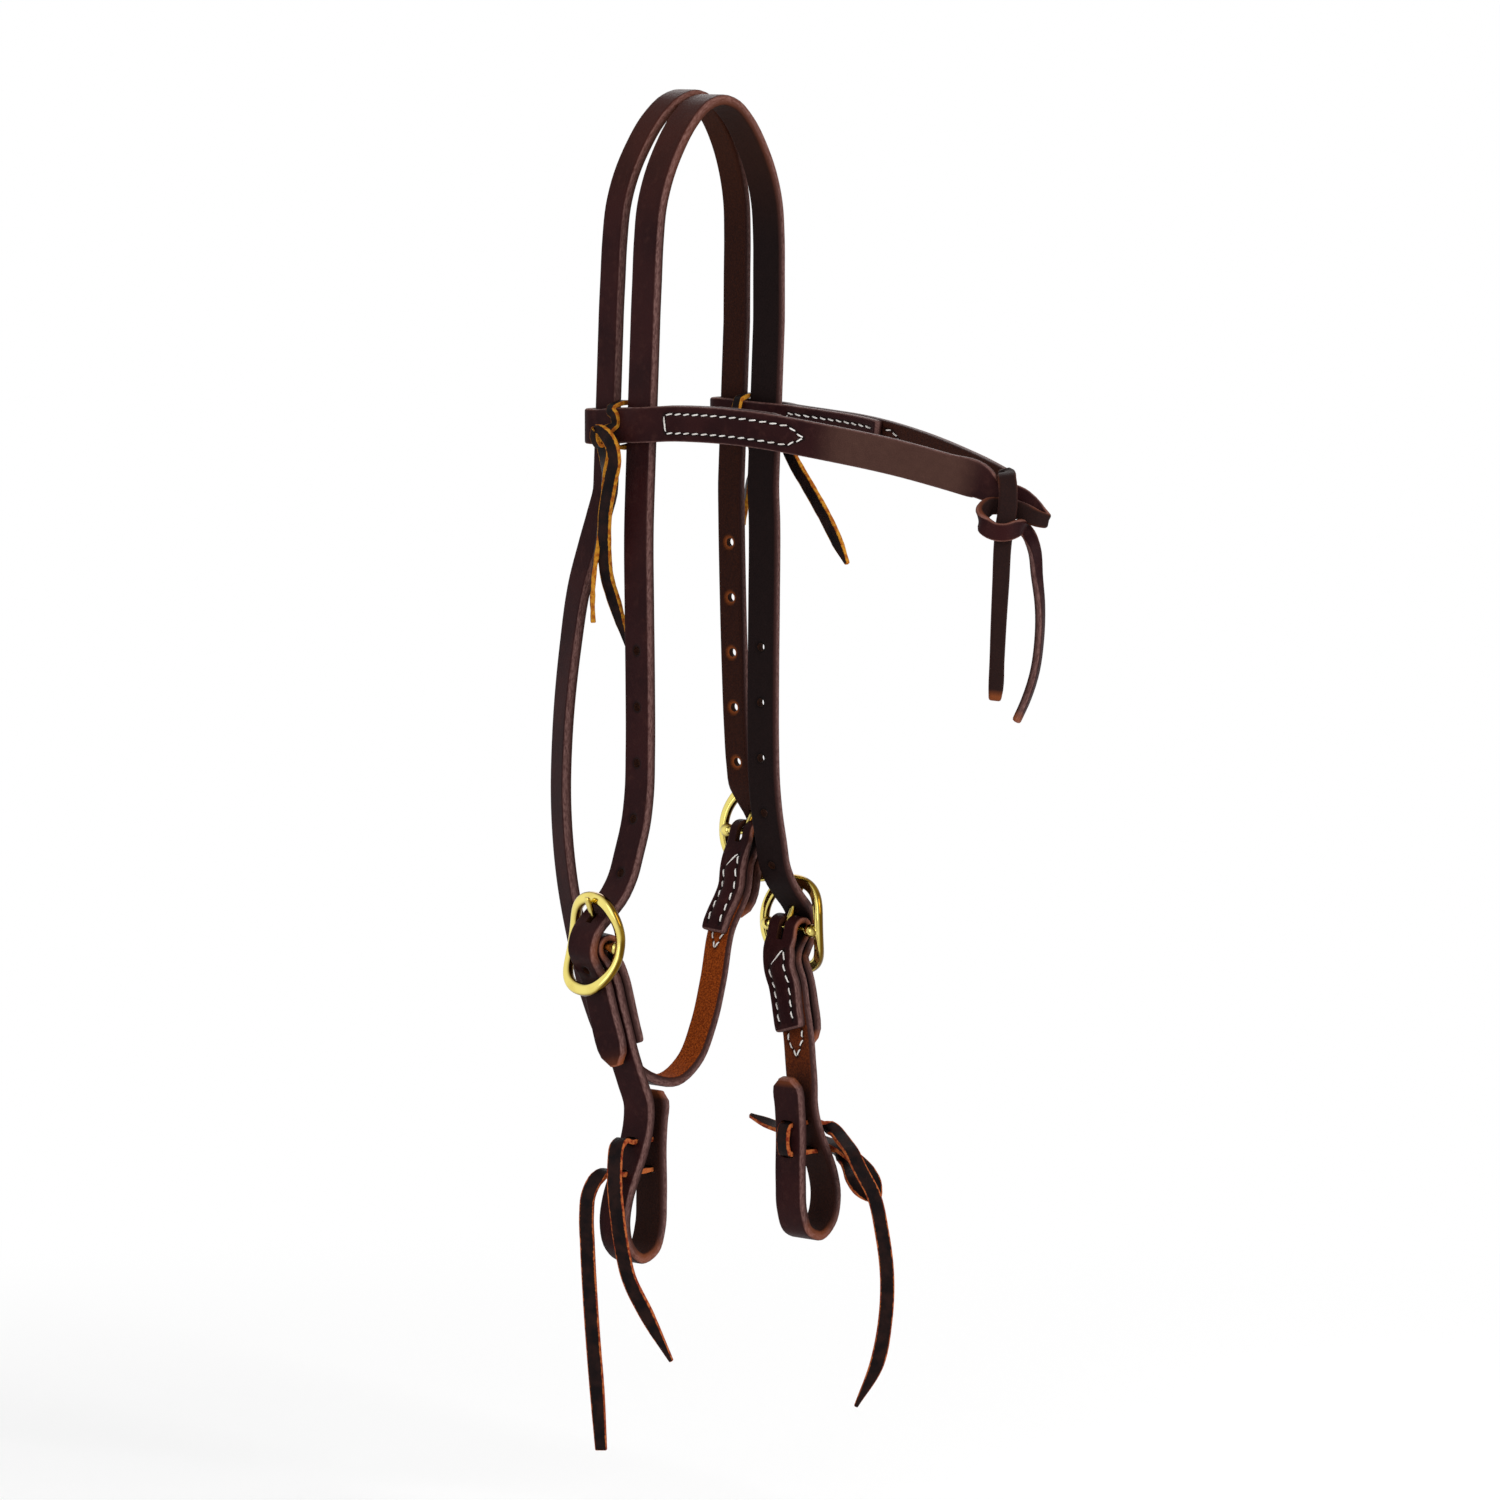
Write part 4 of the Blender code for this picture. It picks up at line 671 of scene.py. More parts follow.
# ---------------------------------------------------------------- Cheek pieces
# Harness leather folded round the cheek buckle's bar at the top and sewn down, and folded up into
# the bit loop at the bottom. The fold is skived thin and slotted for the tongue.
SKIVED_THICK = 0.0030
EDGE_ROUND = 0.0011
FRAME_LENGTH = 0.0470
FRAME_END_ROD = 0.0055
BAR_RADIUS = 0.0020
BAR_CLEARANCE = 0.0003
THREAD_RADIUS = 0.0003
BUCKLE_DROP = 0.3750
BUCKLE_OUT = 0.0645
BUCKLE_BACK = 0.0045
BUCKLE_TILT = math.radians(7.5)
BUCKLE_LEAN = math.radians(4.5)
CHEEK_SWING = 0.0052
CHEEK_LAP = 0.0500
CHEEK_SEAM = 0.0640
CHEEK_COVERED = 0.0545
LAP_MARGIN = 0.0025
BOBBIN_SKEW = 0.0064
BILLET_TAIL = 0.0570
SEAM_SPACING = 0.0084
SEAM_START = 0.0110
SEAM_POINT = 0.0080
TONGUE_RADIUS = 0.0013
TONGUE_OVERHANG = 0.0022
TONGUE_CLEARANCE = 0.00045
FRAME_THICK = 0.0040
FRAME_ARCH = 0.0050
FOLD_RADIUS = BAR_RADIUS + BAR_CLEARANCE + SKIVED_THICK / 2
FOLD_SLACK = 0.0028
FOLD_LIFT = 0.0004
END_AXIS = (FRAME_LENGTH - FRAME_END_ROD) / 2
HUMP_OUT = FOLD_RADIUS + SKIVED_THICK / 2 + GAP + STRAP_THICK / 2
SEAM_GAP = 2 * (GAP + THREAD_RADIUS)
GROOVE_DEPTH = 0.00055
GROOVE_WIDTH = 0.00075
PUFF = 0.00070
PUFF_EASE = 0.004
BEND_REACH = 0.005
BEND_TURN = (0.35, 1.3)
BEND_WORN = 0.55
RIM_WORN = (0.0040, 0.0020)
FLESH_BARE = (-0.02, -0.01)
FLESH_DYED = (0.034, 0.012)
CHEEK_PAST_LAP = 0.0015
CHEEK_TIP = (-0.0035, -0.0005)
CHEEK_STEP = 0.0022
SLOT_SIDES = 16
# The main layer under the bar, as shares of half the frame's length down and of the hump's height
# out, how much of its full thickness it has regained, and how much of the seat's swing forward
drape_shares = (
    (-0.130, 0.39, 0.0, 0.0), (-0.313, -0.125, 0.3, 0.0), (-0.506, -0.59, 0.6, 0.08),
    (-0.675, -0.865, 0.9, 0.26), (-0.867, -0.99, 1.0, 0.55), (-1.11, -1.065, 1.0, 1.0),
)
tuck_shares = ((-0.164, -0.94, 0.2, 0.0), (-0.357, -1.20, 0.6, 0.0))
climb_shares = (
    (1.05, -0.74), (0.843, -0.34), (0.65, 0.075), (0.458, 0.51), (0.24, 0.87), (0, 1),
    (-0.18, 0.95),
)
cheek_piece_shares = ((0.263, 0.915, 0.23), (0.356, 0.897, 0.525), (0.441, 0.865, 0.79))
bit_tip_shares = ((-0.07, 1.0, 1), (-0.09, 1.045, 0.86), (-0.11, 1.075, 0.52))
billet_tip_shares = ((0.62, 1), (0.30, 0.90), (0.10, 0.66), (0, 0.38))
blunt_tip_shares = ((0.35, 1), (0.12, 1), (0, 0.97))


class Seat:
    """A rigid place on a strap: its centre, and the directions up, back and out from the head."""

    def __init__(self, side, centre, tilt=0.0, lean=0.0, swing=0.0):
        self.side, self.swing = side, swing
        self.centre = np.array(centre, float)
        self.up = unit([-side * math.tan(tilt), -math.tan(lean), 1])
        self.back = square_to(flared(side), self.up)
        self.out = side * np.cross(self.back, self.up)

    def at(self, up, out, back=0.0):
        return self.centre + self.up * up + self.out * out + self.back * back

    def prism(self, shape, half_depth):
        """The rings of an outline of (up, out) points made solid across the strap's width."""
        return [[self.at(u, o, depth) for u, o in shape] for depth in (-half_depth, half_depth)]


def solid(name, forms, finish):
    """A piece of closed forms, each given as the rings of points that it runs through."""
    coords, faces = [], []
    for rings in forms:
        n, first = len(rings[0]), len(coords)
        coords += [tuple(spot) for ring in rings for spot in ring]
        last = len(coords) - n
        faces += [tuple(range(first, first + n))[::-1], tuple(range(last, last + n))]
        for start in range(first, last, n):
            faces += between(start, start + n, n)
    return stand(name, closed_mesh(name, coords, faces, finish))


def marks_on(mesh, name):
    values = np.empty(len(mesh.vertices), np.float32)
    mesh.attributes[name].data.foreach_get("value", values)
    return values


def carve(piece, operation, others, sharp_from):
    """Cuts other forms out of a piece or joins them on. Points take their old neighbours' marks."""
    old = piece.data
    tree = KDTree(len(old.vertices))
    for i, vertex in enumerate(old.vertices):
        tree.insert(vertex.co, i)
    tree.balance()
    for other in others:
        modifier = piece.modifiers.new(other.name, "BOOLEAN")
        modifier.operation, modifier.solver, modifier.object = operation, "EXACT", other
        modifier.material_mode = "TRANSFER"
    bpy.context.view_layer.update()
    depsgraph = bpy.context.evaluated_depsgraph_get()
    mesh = bpy.data.meshes.new_from_object(piece.evaluated_get(depsgraph))
    piece.modifiers.clear()
    piece.data = mesh
    for other in others:
        bpy.data.objects.remove(other)
    near = [tree.find(vertex.co)[1] for vertex in mesh.vertices]
    for name in [one.name for one in old.attributes if one.data_type == "FLOAT"]:
        mark_points(mesh, name, marks_on(old, name)[near])
    smooth(mesh, sharp_from)


def shaded_hole_wall():
    """The wall of a punched hole or slot, painted near black: painted shade inside the hole."""
    paint = Paint(bpy.data.materials.new("hole_wall_painted_shade"))
    # Painted shade: much darker than the strap's cut edges, for the shade inside holes and slots.
    colour = paint.blend(paint.cloud(700, 3), (0.012, 0.004, 0.003), (0.060, 0.017, 0.006))
    return paint.shade(Base_Color=colour, Roughness=0.8, Specular_IOR_Level=0.1)


def harness_leather():
    """Oiled harness leather: burgundy-brown grain with fine pores, paler burnished edges, and a
    flesh side that is dyed dark or left raw as suede, by the marks on the mesh."""
    paint = Paint(bpy.data.materials.new("harness_leather_oiled"))
    side, edge, through = paint.mark("side"), paint.mark("edge"), paint.mark("through")
    raw, rubbed = paint.mark("raw"), paint.mark("rubbed")
    blots, mottle = paint.cloud(38, 3), paint.cloud(240, 4, 0.6)
    pores = paint.node(
        "ShaderNodeTexVoronoi", {"feature": "F1"}, {"Vector": paint.place(), "Scale": 1500.0}
    )
    grain = paint.blend(blots.above(0.32, 0.68), (0.0150, 0.0032, 0.0038), (0.025, 0.0056, 0.0058))
    grain = paint.blend(mottle.above(0.48, 0.80) * 0.5, grain, (0.046, 0.0150, 0.0125))
    flesh = paint.blend(mottle, (0.0072, 0.0038, 0.0040), (0.0145, 0.0074, 0.0070))
    nap = paint.cloud(1300, 4, 0.7)
    suede = paint.blend(nap.above(0.35, 0.68), (0.115, 0.0170, 0.0020), (0.36, 0.072, 0.0090))
    flesh = paint.blend(raw, flesh, suede)
    under = (side * -1.0).above(0.05, 0.35)
    # Painted sheen: where the browband's plain front faces the light, its grain is painted lighter
    # and warmer.
    grain = paint.blend(paint.mark("painted_sheen") * (0.6 + 0.5 * mottle), grain, (0.070, 0.0320, 0.0240))
    colour = paint.blend(under, grain, flesh)
    run = {"X": paint.mark("reach") * 420.0, "Y": through * 3.0, "Z": paint.mark("wide") * 900.0}
    streaks = paint.cloud(1.0, 4, 0.6, paint.node("ShaderNodeCombineXYZ", {}, run))
    rubbed_edge, waxed_edge = (0.165, 0.0860, 0.0760), (0.062, 0.0250, 0.0220)
    burnish = paint.blend(streaks.above(0.30, 0.70), waxed_edge, rubbed_edge)
    burnish = paint.blend(through.above(-0.75, 0.45), (0.024, 0.0075, 0.0060), burnish)
    on_edge = edge.above(0.08, 0.65)
    # The faces' rounded corners beside the edges are lightened towards the edge colour: partly
    # handling wear, partly a painted highlight where the corners catch the light.
    worn_and_lit_corners = (paint.mark("rim") + 0.10 * streaks).above(0.90, 1.08) * 0.30
    colour = paint.blend((on_edge * 0.9).most(worn_and_lit_corners), colour, burnish)
    # Painted shade: where the stitch grooves and the dished hole rims sink in, the leather is
    # painted near black.
    colour = paint.blend(paint.mark("groove_shade") * 0.8, colour, (0.0035, 0.0018, 0.0018))
    rub = rubbed * 0.5
    colour = paint.blend(rub, colour, (0.46, 0.115, 0.026))
    fuzzy = (under * raw).most(rub)
    height = pores * 0.45 + mottle * 0.5 + nap * fuzzy * 2.0 + streaks * on_edge * 0.3
    return paint.shade(
        Base_Color=colour,
        Roughness=0.44 + 0.12 * mottle + 0.06 * on_edge + 0.16 * under + 0.25 * fuzzy,
        Specular_IOR_Level=0.05,
        Coat_Weight=0.04 * on_edge * (1.0 - fuzzy),
        Coat_Roughness=0.40,
        Normal=paint.raised(height, 0.00014),
    )


hole_shade_finish = shaded_hole_wall()
leather_finish = harness_leather()


def drape_rows(seat, shares=drape_shares):
    """The main layer's rows under the bar of a buckle, from its fold down."""
    rows = []
    for down, out, grown, swung in shares:
        thick = SKIVED_THICK + (STRAP_THICK - SKIVED_THICK) * grown
        point = seat.at(down * END_AXIS, out * HUMP_OUT, -swung * seat.swing)
        rows.append(row(point, seat.back, thick=thick))
    return rows


def fold_rows(seat):
    """Rows round the bar, from the inner side over the top to the outer side."""
    steps = 6
    rows = []
    for i in range(steps + 1):
        a = math.pi * (i / steps - 0.5)
        slack = FOLD_SLACK * (1 - math.sin(a)) / 2
        point = seat.at((FOLD_RADIUS + FOLD_LIFT) * math.cos(a), FOLD_RADIUS * math.sin(a) - slack)
        rows.append(row(point, seat.back, thick=SKIVED_THICK))
    return rows


def beside(line, reach, heading, gap, width, thick):
    """A row of the layer that lies on one face of a line, on the side that heading points to."""
    point, _, across, face, _, half = line.at(reach)
    face = face * np.sign(face @ heading)
    return row(point + face * (half + gap + thick / 2), across, width, thick)


def layer_to_end(layer_at, first, end, tip_shares):
    """Rows along a layer from its first length to its rounded end."""
    rows = [layer_at(reach) for reach in np.linspace(first, end - STRAP_WIDTH, 6)]
    for back, wide in tip_shares:
        made = layer_at(end - back * STRAP_WIDTH)
        made[6] *= wide
        rows.append(made)
    return rows


class SewnEnd:
    """A strap's end folded round a buckle's bar and sewn, with the billet that lies on it."""

    def __init__(self, seat, lower, lap, tail):
        drape = drape_rows(seat)
        core = Line([*fold_rows(seat)[-1:], *drape, *lower])

        def inner_at(reach):
            return beside(core, reach, -seat.out, GAP, STRAP_WIDTH, STRAP_THICK)

        def outer_at(reach):
            return beside(core, reach, seat.out, SEAM_GAP, STRAP_WIDTH, STRAP_THICK)

        self.fold = [*fold_rows(seat), *drape]
        start = core.nearest(drape[3][:3])
        self.folded = layer_to_end(inner_at, start, lap, blunt_tip_shares)[::-1]
        self.folded += drape_rows(seat, tuck_shares)[::-1]
        self.billet = [row(seat.at(u * END_AXIS, o * HUMP_OUT), seat.back) for u, o in climb_shares]
        first = core.nearest(drape[1][:3])
        self.billet += layer_to_end(outer_at, first, tail, billet_tip_shares)


def tongue_line():
    """The tongue's curl radius, its heading, and its ends, as (up, out) points."""
    curl = BAR_RADIUS + BAR_CLEARANCE + TONGUE_RADIUS
    eased = (2 - math.sqrt(2)) * FRAME_THICK / 2
    corner = np.array([END_AXIS - FRAME_END_ROD / 2 + eased, FRAME_ARCH + FRAME_THICK / 2])
    far = np.linalg.norm(corner)
    heading = math.atan2(corner[1], corner[0]) + math.asin((curl + TONGUE_RADIUS + GAP) / far)
    ahead = np.array([math.cos(heading), math.sin(heading)])
    leave = curl * np.array([ahead[1], -ahead[0]])
    tip = leave + ahead * (corner @ ahead + TONGUE_OVERHANG)
    return curl, heading, leave, tip


def fold_slot(seat):
    """The slot in the fold round the bar, where the tongue's curl sits."""
    long = BAR_RADIUS + BAR_CLEARANCE + 2 * TONGUE_RADIUS + TONGUE_CLEARANCE
    inner, outer = FOLD_RADIUS + FOLD_SLACK + SKIVED_THICK, HUMP_OUT - STRAP_THICK / 2 - GAP / 2
    shape = (
        (-long, -inner), (long + SKIVED_THICK, -inner), (long + SKIVED_THICK, 0), (long, outer),
        (-long, outer),
    )
    return seat.prism(shape, TONGUE_RADIUS + TONGUE_CLEARANCE)


def squarer(angle, power):
    """The cosine and sine of an angle on a circle that a power below 1 fills out at its corners."""
    return [math.copysign(abs(v) ** power, v) for v in (math.cos(angle), math.sin(angle))]


def lace_slots(side):
    """Two slots through both layers of a bit loop."""
    half_y, half_z = LACE_WIDTH / 2 + LACE_HOLE_CLEARANCE, LACE_THICK / 2 + LACE_HOLE_CLEARANCE
    turns = [squarer(2 * math.pi * (i + 0.5) / SLOT_SIDES, 0.5) for i in range(SLOT_SIDES)]
    rings = [
        [ASIDE * side * out + BACK * half_y * y + UP * half_z * z for y, z in turns]
        for out in (-BIT_LOOP_SPAN / 2, BIT_LOOP_SPAN)
    ]
    return [[[bit_hole(side, hole) + spot for spot in ring] for ring in rings] for hole in (0, 1)]


def cheek_seat(side):
    centre = (side * BUCKLE_OUT, BUCKLE_BACK, -BUCKLE_DROP - cheek_sink[side])
    return Seat(side, centre, BUCKLE_TILT, BUCKLE_LEAN, CHEEK_SWING)


def cheek_lower_rows(side):
    """The cheek piece below its buckle, down into the bit loop and up to the loop's inner tip."""
    rows = []
    span = BIT_DROP - BUCKLE_DROP
    for down, out, forward in cheek_piece_shares:
        z = -BUCKLE_DROP - cheek_sink[side] - span * down
        rows.append(row((side * BUCKLE_OUT * out, -BIT_FORWARD * forward, z), BACK))
    for out, up in bit_loop_shares:
        rows.append(row(bit_point(side, out, up), BACK))
    for out, up, wide in bit_tip_shares:
        rows.append(row(bit_point(side, out, up), BACK, STRAP_WIDTH * wide))
    return rows


class Seam:
    """Two rows of stitching from a bar at start to a point at end, on one face of a line.

    face is 1 or -1, for the face it is on. pointed is False where the layer ends before the point,
    barred is False where it starts beyond the bar. skew is how much later the second row starts.
    """

    def __init__(
        self, line, face, start, end, width=STRAP_WIDTH, pointed=True, barred=True, skew=0.0
    ):
        self.line, self.face, self.start, self.end = line, face, start, end
        self.half = SEAM_SPACING * width / STRAP_WIDTH / 2
        self.pointed = pointed
        self.sign = 1 if end > start else -1
        shoulder = end - self.sign * SEAM_POINT if pointed else end
        late = start + skew * self.sign
        # Its straight runs as pairs of (length along, across) points, without the bar
        self.runs = []
        for half, first in ((-self.half, start), (self.half, late)):
            if (shoulder - start) * self.sign > 0:
                self.runs.append(((first, half), (shoulder, half)))
            if pointed:
                self.runs.append(((shoulder, half), (end, 0.0)))
        self.bars = [((start, -self.half), (late, self.half))] if barred else []

    def depth(self, reach, x):
        """How far the leather stands out or is pulled in beside the stitches."""
        away = np.full(reach.shape, 1.0)
        for (r0, x0), (r1, x1) in self.runs + self.bars:
            long = math.hypot(r1 - r0, x1 - x0)
            t = ((reach - r0) * (r1 - r0) + (x - x0) * (x1 - x0)) / long**2
            t = np.clip(t, 0, 1)
            away = np.minimum(away, np.hypot(reach - r0 - t * (r1 - r0), x - x0 - t * (x1 - x0)))
        ahead, total = (reach - self.start) * self.sign, (self.end - self.start) * self.sign
        narrowed = np.clip((total - ahead) / SEAM_POINT, 0, 1) if self.pointed else 1
        room = np.maximum(self.half * narrowed, 1e-6)
        inside = (ahead > 0) & (ahead < total) & (np.abs(x) < room)
        puff = PUFF * np.sqrt(np.clip(1 - (x / room) ** 2, 0, 1)) * (room / self.half)
        ease = np.clip(ahead / PUFF_EASE, 0, 1) * np.clip((total - ahead) / PUFF_EASE, 0, 1)
        return puff * inside * ease - GROOVE_DEPTH * np.exp(-((away / GROOVE_WIDTH) ** 2))


def seam_relief(seams):
    """The relief that seams press into a strap, for bar_of."""

    def relief(reach, x, out):
        total = np.zeros(reach.shape)
        for seam in seams:
            total += seam.depth(reach, x) * ((np.sign(out) == seam.face) & (np.abs(out) > 0.9))
        return total

    return relief


def fine_stretches(seams, step=0.0008, margin=0.002):
    """Stretches of a strap whose mesh has to be fine enough for the stitches' grooves."""
    spans = [sorted((seam.start, seam.end)) for seam in seams]
    return [(low - margin, high + margin, step) for low, high in spans]


def fold_seams(line, end, seat, lap, covered, point, past, width=STRAP_WIDTH, last=None):
    """A fold's seams, the outer one split by the lap's end, with where the strap passes the bar on
    its outer side and which face is its grain."""
    outside = line.nearest(seat.at(0, FOLD_RADIUS), 0, last)
    inside = line.nearest(seat.at(0, -FOLD_RADIUS), 0, last)
    grain = float(np.sign(line.at(outside + SEAM_START)[3] @ seat.out))
    tip = line.nearest(end.folded[0][:3]) + LAP_MARGIN
    kinds = {
        "needle": [Seam(line, grain, outside + SEAM_START, outside + covered, width)],
        "bobbin": [
            Seam(line, grain, inside - SEAM_START, tip, width, pointed=False, skew=BOBBIN_SKEW),
            Seam(line, -grain, outside + lap + past, outside + point, width, barred=False),
        ],
    }
    return kinds, outside, grain


def ramp(x, low, high):
    """0 up to low and 1 from high on, or the other way round where high is the smaller."""
    t = np.clip((x - low) / (high - low), 0, 1)
    return t * t * (3 - 2 * t)


def bend_rub(line, reach, edge):
    """Wear of the edges where the leather is bent: the most it turns within a centimetre."""
    ahead = np.interp(reach + BEND_REACH, line.reach, line.turned)
    behind = np.interp(reach - BEND_REACH, line.reach, line.turned)
    return BEND_WORN * edge * ramp(ahead - behind, *BEND_TURN)


def make_strap(
    node, body, line, sides, step, fine, relief, grain, raw_at, rubbed_at, cutters=(),
    painted_sheen_at=np.zeros_like, rims=(),
):
    """A whole strap. Its side marks turn so that 1 is grain, and it gets marks of how raw and
    rubbed it is and of where painted sheen lightens it. Rims are the holes that punch and tongue
    have worn raw on the flesh side."""
    stops = line.stops(0, line.length, step, fine=fine)
    name = node.removesuffix("_half") + "_leather"
    piece = bar_of(name, line, outline(EDGE_ROUND, *sides), stops, leather_finish, relief)
    mesh = piece.data
    reach, edge, wide = (marks_on(mesh, mark) for mark in ("reach", "edge", "wide"))
    reach = reach.astype(float)
    for mark in ("side", "through"):
        mark_points(mesh, mark, marks_on(mesh, mark) * grain)
    rubbed = rubbed_at(reach, edge)
    for place in rims:
        rim = ramp(np.hypot(reach - place, wide), *RIM_WORN) * (marks_on(mesh, "side") < 0)
        rubbed = np.maximum(rubbed, rim)
    mark_points(mesh, "raw", raw_at(reach))
    mark_points(mesh, "rubbed", rubbed)
    mark_points(mesh, "painted_sheen", painted_sheen_at(reach))
    if cutters:
        others = [solid(piece.name + "_cutter", forms, hole_shade_finish) for forms in cutters]
        carve(piece, "DIFFERENCE", others, 40)
    seat_on(piece, body, node)


seams, ends = {}, {}
for side in (RIGHT, LEFT):
    seat, lower = cheek_seat(side), cheek_lower_rows(side)
    end = ends[side] = SewnEnd(seat, lower, CHEEK_LAP, BILLET_TAIL)
    line = Line([*end.folded, *end.fold, *lower])
    name = word[side] + "_cheek"
    seams[name], outside, grain = fold_seams(
        line, end, seat, CHEEK_LAP, CHEEK_COVERED, CHEEK_SEAM, CHEEK_PAST_LAP
    )
    both = seams[name]["needle"] + seams[name]["bobbin"]
    lap_end = outside + CHEEK_LAP

    def raw_at(reach):
        past = reach - lap_end
        return ramp(past, *FLESH_BARE) * (0.06 + 0.32 * ramp(past, *FLESH_DYED))

    def rubbed_at(reach, edge):
        tip = ramp(reach - line.length, *CHEEK_TIP)
        return np.clip(bend_rub(line, reach, edge) + 0.4 * tip, 0, 1)

    make_strap(
        name + "_piece", "headstall", line, (23, 4), CHEEK_STEP, fine_stretches(both),
        seam_relief(both), grain, raw_at, rubbed_at, ([fold_slot(seat)], lace_slots(side)),
    )

# ---------------------------------------------------------------- Crown and cheek strap
# One strap of harness leather over the poll. Both of its ends are billets, punched with round holes
# a buckle's length apart and pointed, and each is buckled to its cheek piece.
CROWN_LEAN = 0.0060
CROWN_SPACING = 0.0155
HOLE_RADIUS = 0.0020
HOLE_PITCH = 0.0254
HOLES_ABOVE = 5
HOLES_BELOW = 1
CROSSING_SHARE = 0.6
TONGUE_SWING = math.radians(10)
HOLE_SIDES = 28
HOLE_DISH, HOLE_DISH_SPREAD = 0.00045, 0.0008
CROWN_STEP = 0.0035
BILLET_TIP = (-0.005, -0.001)
POLL_WORN = (0.085, 0.030)
arch_shares = (
    (0.24, 0.026, 0.97, 0.00), (0.44, 0.092, 0.90, 0.10), (0.68, 0.222, 0.77, 0.30),
    (0.825, 0.335, 0.67, 0.55), (0.925, 0.460, 0.55, 0.75), (0.97, 0.620, 0.41, 0.90),
    (0.985, 0.790, 0.23, 0.97), (0.997, 0.940, 0.06, 1.00),
)
# How much sooner the two straps part on the right side
right_sooner_shares = (0.08, 0.24, 0.30, 0.22, 0.12, 0.04, 0.01, 0)
FRONT_LIFT, REAR_LIFT = -0.0006, 0.0014
straight_shares = (0, 0.06, 0.5, 0.94, 1)
cheek_fall_shares = (
    (0.09, 0.03, 0), (0.26, 0.02, 0), (0.43, 0.0, 0), (0.58, 0.0, 0), (0.67, 0.03, 0),
    (0.74, 0.12, 0.05), (0.80, 0.26, 0.2), (0.86, 0.42, 0.42),
)


def crown_lift(rear, down):
    """At the poll the rear strap stands a little above the front one."""
    return (REAR_LIFT if rear else FRONT_LIFT) * (1 - down) ** 3


def crown_rows(side, rear):
    """One side of a crown strap, from just beside the top down to the end of the straight run."""
    rows = []
    for (out, down, lean, set_share), sooner in zip(arch_shares, right_sooner_shares):
        set_share += sooner if side == RIGHT else 0
        setback = rear * (CROWN_SPACING + (rear_setback[side] - CROWN_SPACING) * set_share)
        across = flared(side, FLARE_ANGLE * set_share)
        y = -STRAIGHT_LEAN - (CROWN_LEAN - STRAIGHT_LEAN) * lean
        z = STRAP_THICK / 2 - ARCH_DROP * down + crown_lift(rear, down)
        point = np.array([side * HEAD_HALF_WIDTH * out, y, z])
        rows.append(row(point + across * setback, across))
    for share in straight_shares:
        z = STRAIGHT_TOP - STRAIGHT_RUN * share
        rows.append(row(on_straight(side, z, rear * rear_setback[side]), flared(side)))
    return rows


def crown_top(rear):
    z = STRAP_THICK / 2 + crown_lift(rear, 0)
    return row([0, rear * CROWN_SPACING - CROWN_LEAN, z], BACK)


def cheek_fall_rows(side):
    rows = []
    fall = BUCKLE_DROP + cheek_sink[side] + STRAIGHT_END
    for down, out, back in cheek_fall_shares:
        x = side * (HEAD_HALF_WIDTH + (BUCKLE_OUT - HEAD_HALF_WIDTH) * out)
        rows.append(row((x, BUCKLE_BACK * back, STRAIGHT_END - fall * down), flared(side)))
    return rows


def turned_by(point, angle):
    c, s = math.cos(angle), math.sin(angle)
    return np.array([c * point[0] - s * point[1], s * point[0] + c * point[1]])


def tongue_slot(seat):
    """The hole that the tongue goes through, long enough for its swing."""
    _, _, leave, tip = tongue_line()
    ahead = unit(tip - leave)
    half = TONGUE_RADIUS + TONGUE_CLEARANCE
    aside = np.array([-ahead[1], ahead[0]]) * half
    first = leave + ahead * FOLD_RADIUS
    shape = (
        first - aside, tip - aside, turned_by(tip + aside, TONGUE_SWING),
        turned_by(first + aside, TONGUE_SWING),
    )
    return seat.prism(shape, half)


def hole_places(line, seat, first, last):
    """The lengths along a billet of its round holes."""
    _, _, leave, tip = tongue_line()
    at = line.nearest(seat.at(*(leave + (tip - leave) * CROSSING_SHARE)), first, last)
    heading = 1 if at > (first + last) / 2 else -1
    return [at - heading * n * HOLE_PITCH for n in range(-HOLES_BELOW, HOLES_ABOVE + 1) if n]


def punches(line, places):
    """A round cutter for each punched hole."""
    turns = [2 * math.pi * i / HOLE_SIDES for i in range(HOLE_SIDES)]
    forms = []
    for reach in places:
        point, along, across, face, _, _ = line.at(reach)
        round_hole = [HOLE_RADIUS * (along * math.cos(a) + across * math.sin(a)) for a in turns]
        depths = (-face * STRAP_THICK, face * STRAP_THICK)
        forms.append([[point + depth + spot for spot in round_hole] for depth in depths])
    return forms


def punched_relief(places, seams=(), dish=HOLE_DISH, spread=HOLE_DISH_SPREAD):
    """The dished rim of each punched hole, on top of what the seams press in."""
    sewn = seam_relief(seams)

    def relief(reach, x, out):
        total = sewn(reach, x, out)
        for place in places:
            away = np.hypot(reach - place, x) - HOLE_RADIUS
            total -= dish * np.exp(-((np.maximum(away, 0) / spread) ** 2)) * (np.abs(out) > 0.9)
        return total

    return relief


def near_holes(places, half=0.0045, step=0.0009):
    return [(place - half, place + half, step) for place in places]


def tip_rub(line, reach):
    """Wear on the pointed end of a billet, where the line ends."""
    return ramp(reach - line.length, *BILLET_TIP)


halves = {side: [*crown_rows(side, 0), *cheek_fall_rows(side), *ends[side].billet] for side in ends}
line = Line([*halves[RIGHT][::-1], crown_top(0), *halves[LEFT]])
middle = line.length / 2
places = hole_places(line, cheek_seat(RIGHT), 0, middle)
places += hole_places(line, cheek_seat(LEFT), middle, line.length)


def poll_rub(reach, top, edge):
    """The oil has gone from the leather over the poll, which shows a warmer red there."""
    return (0.07 + 0.08 * edge) * ramp(np.abs(reach - top), *POLL_WORN)


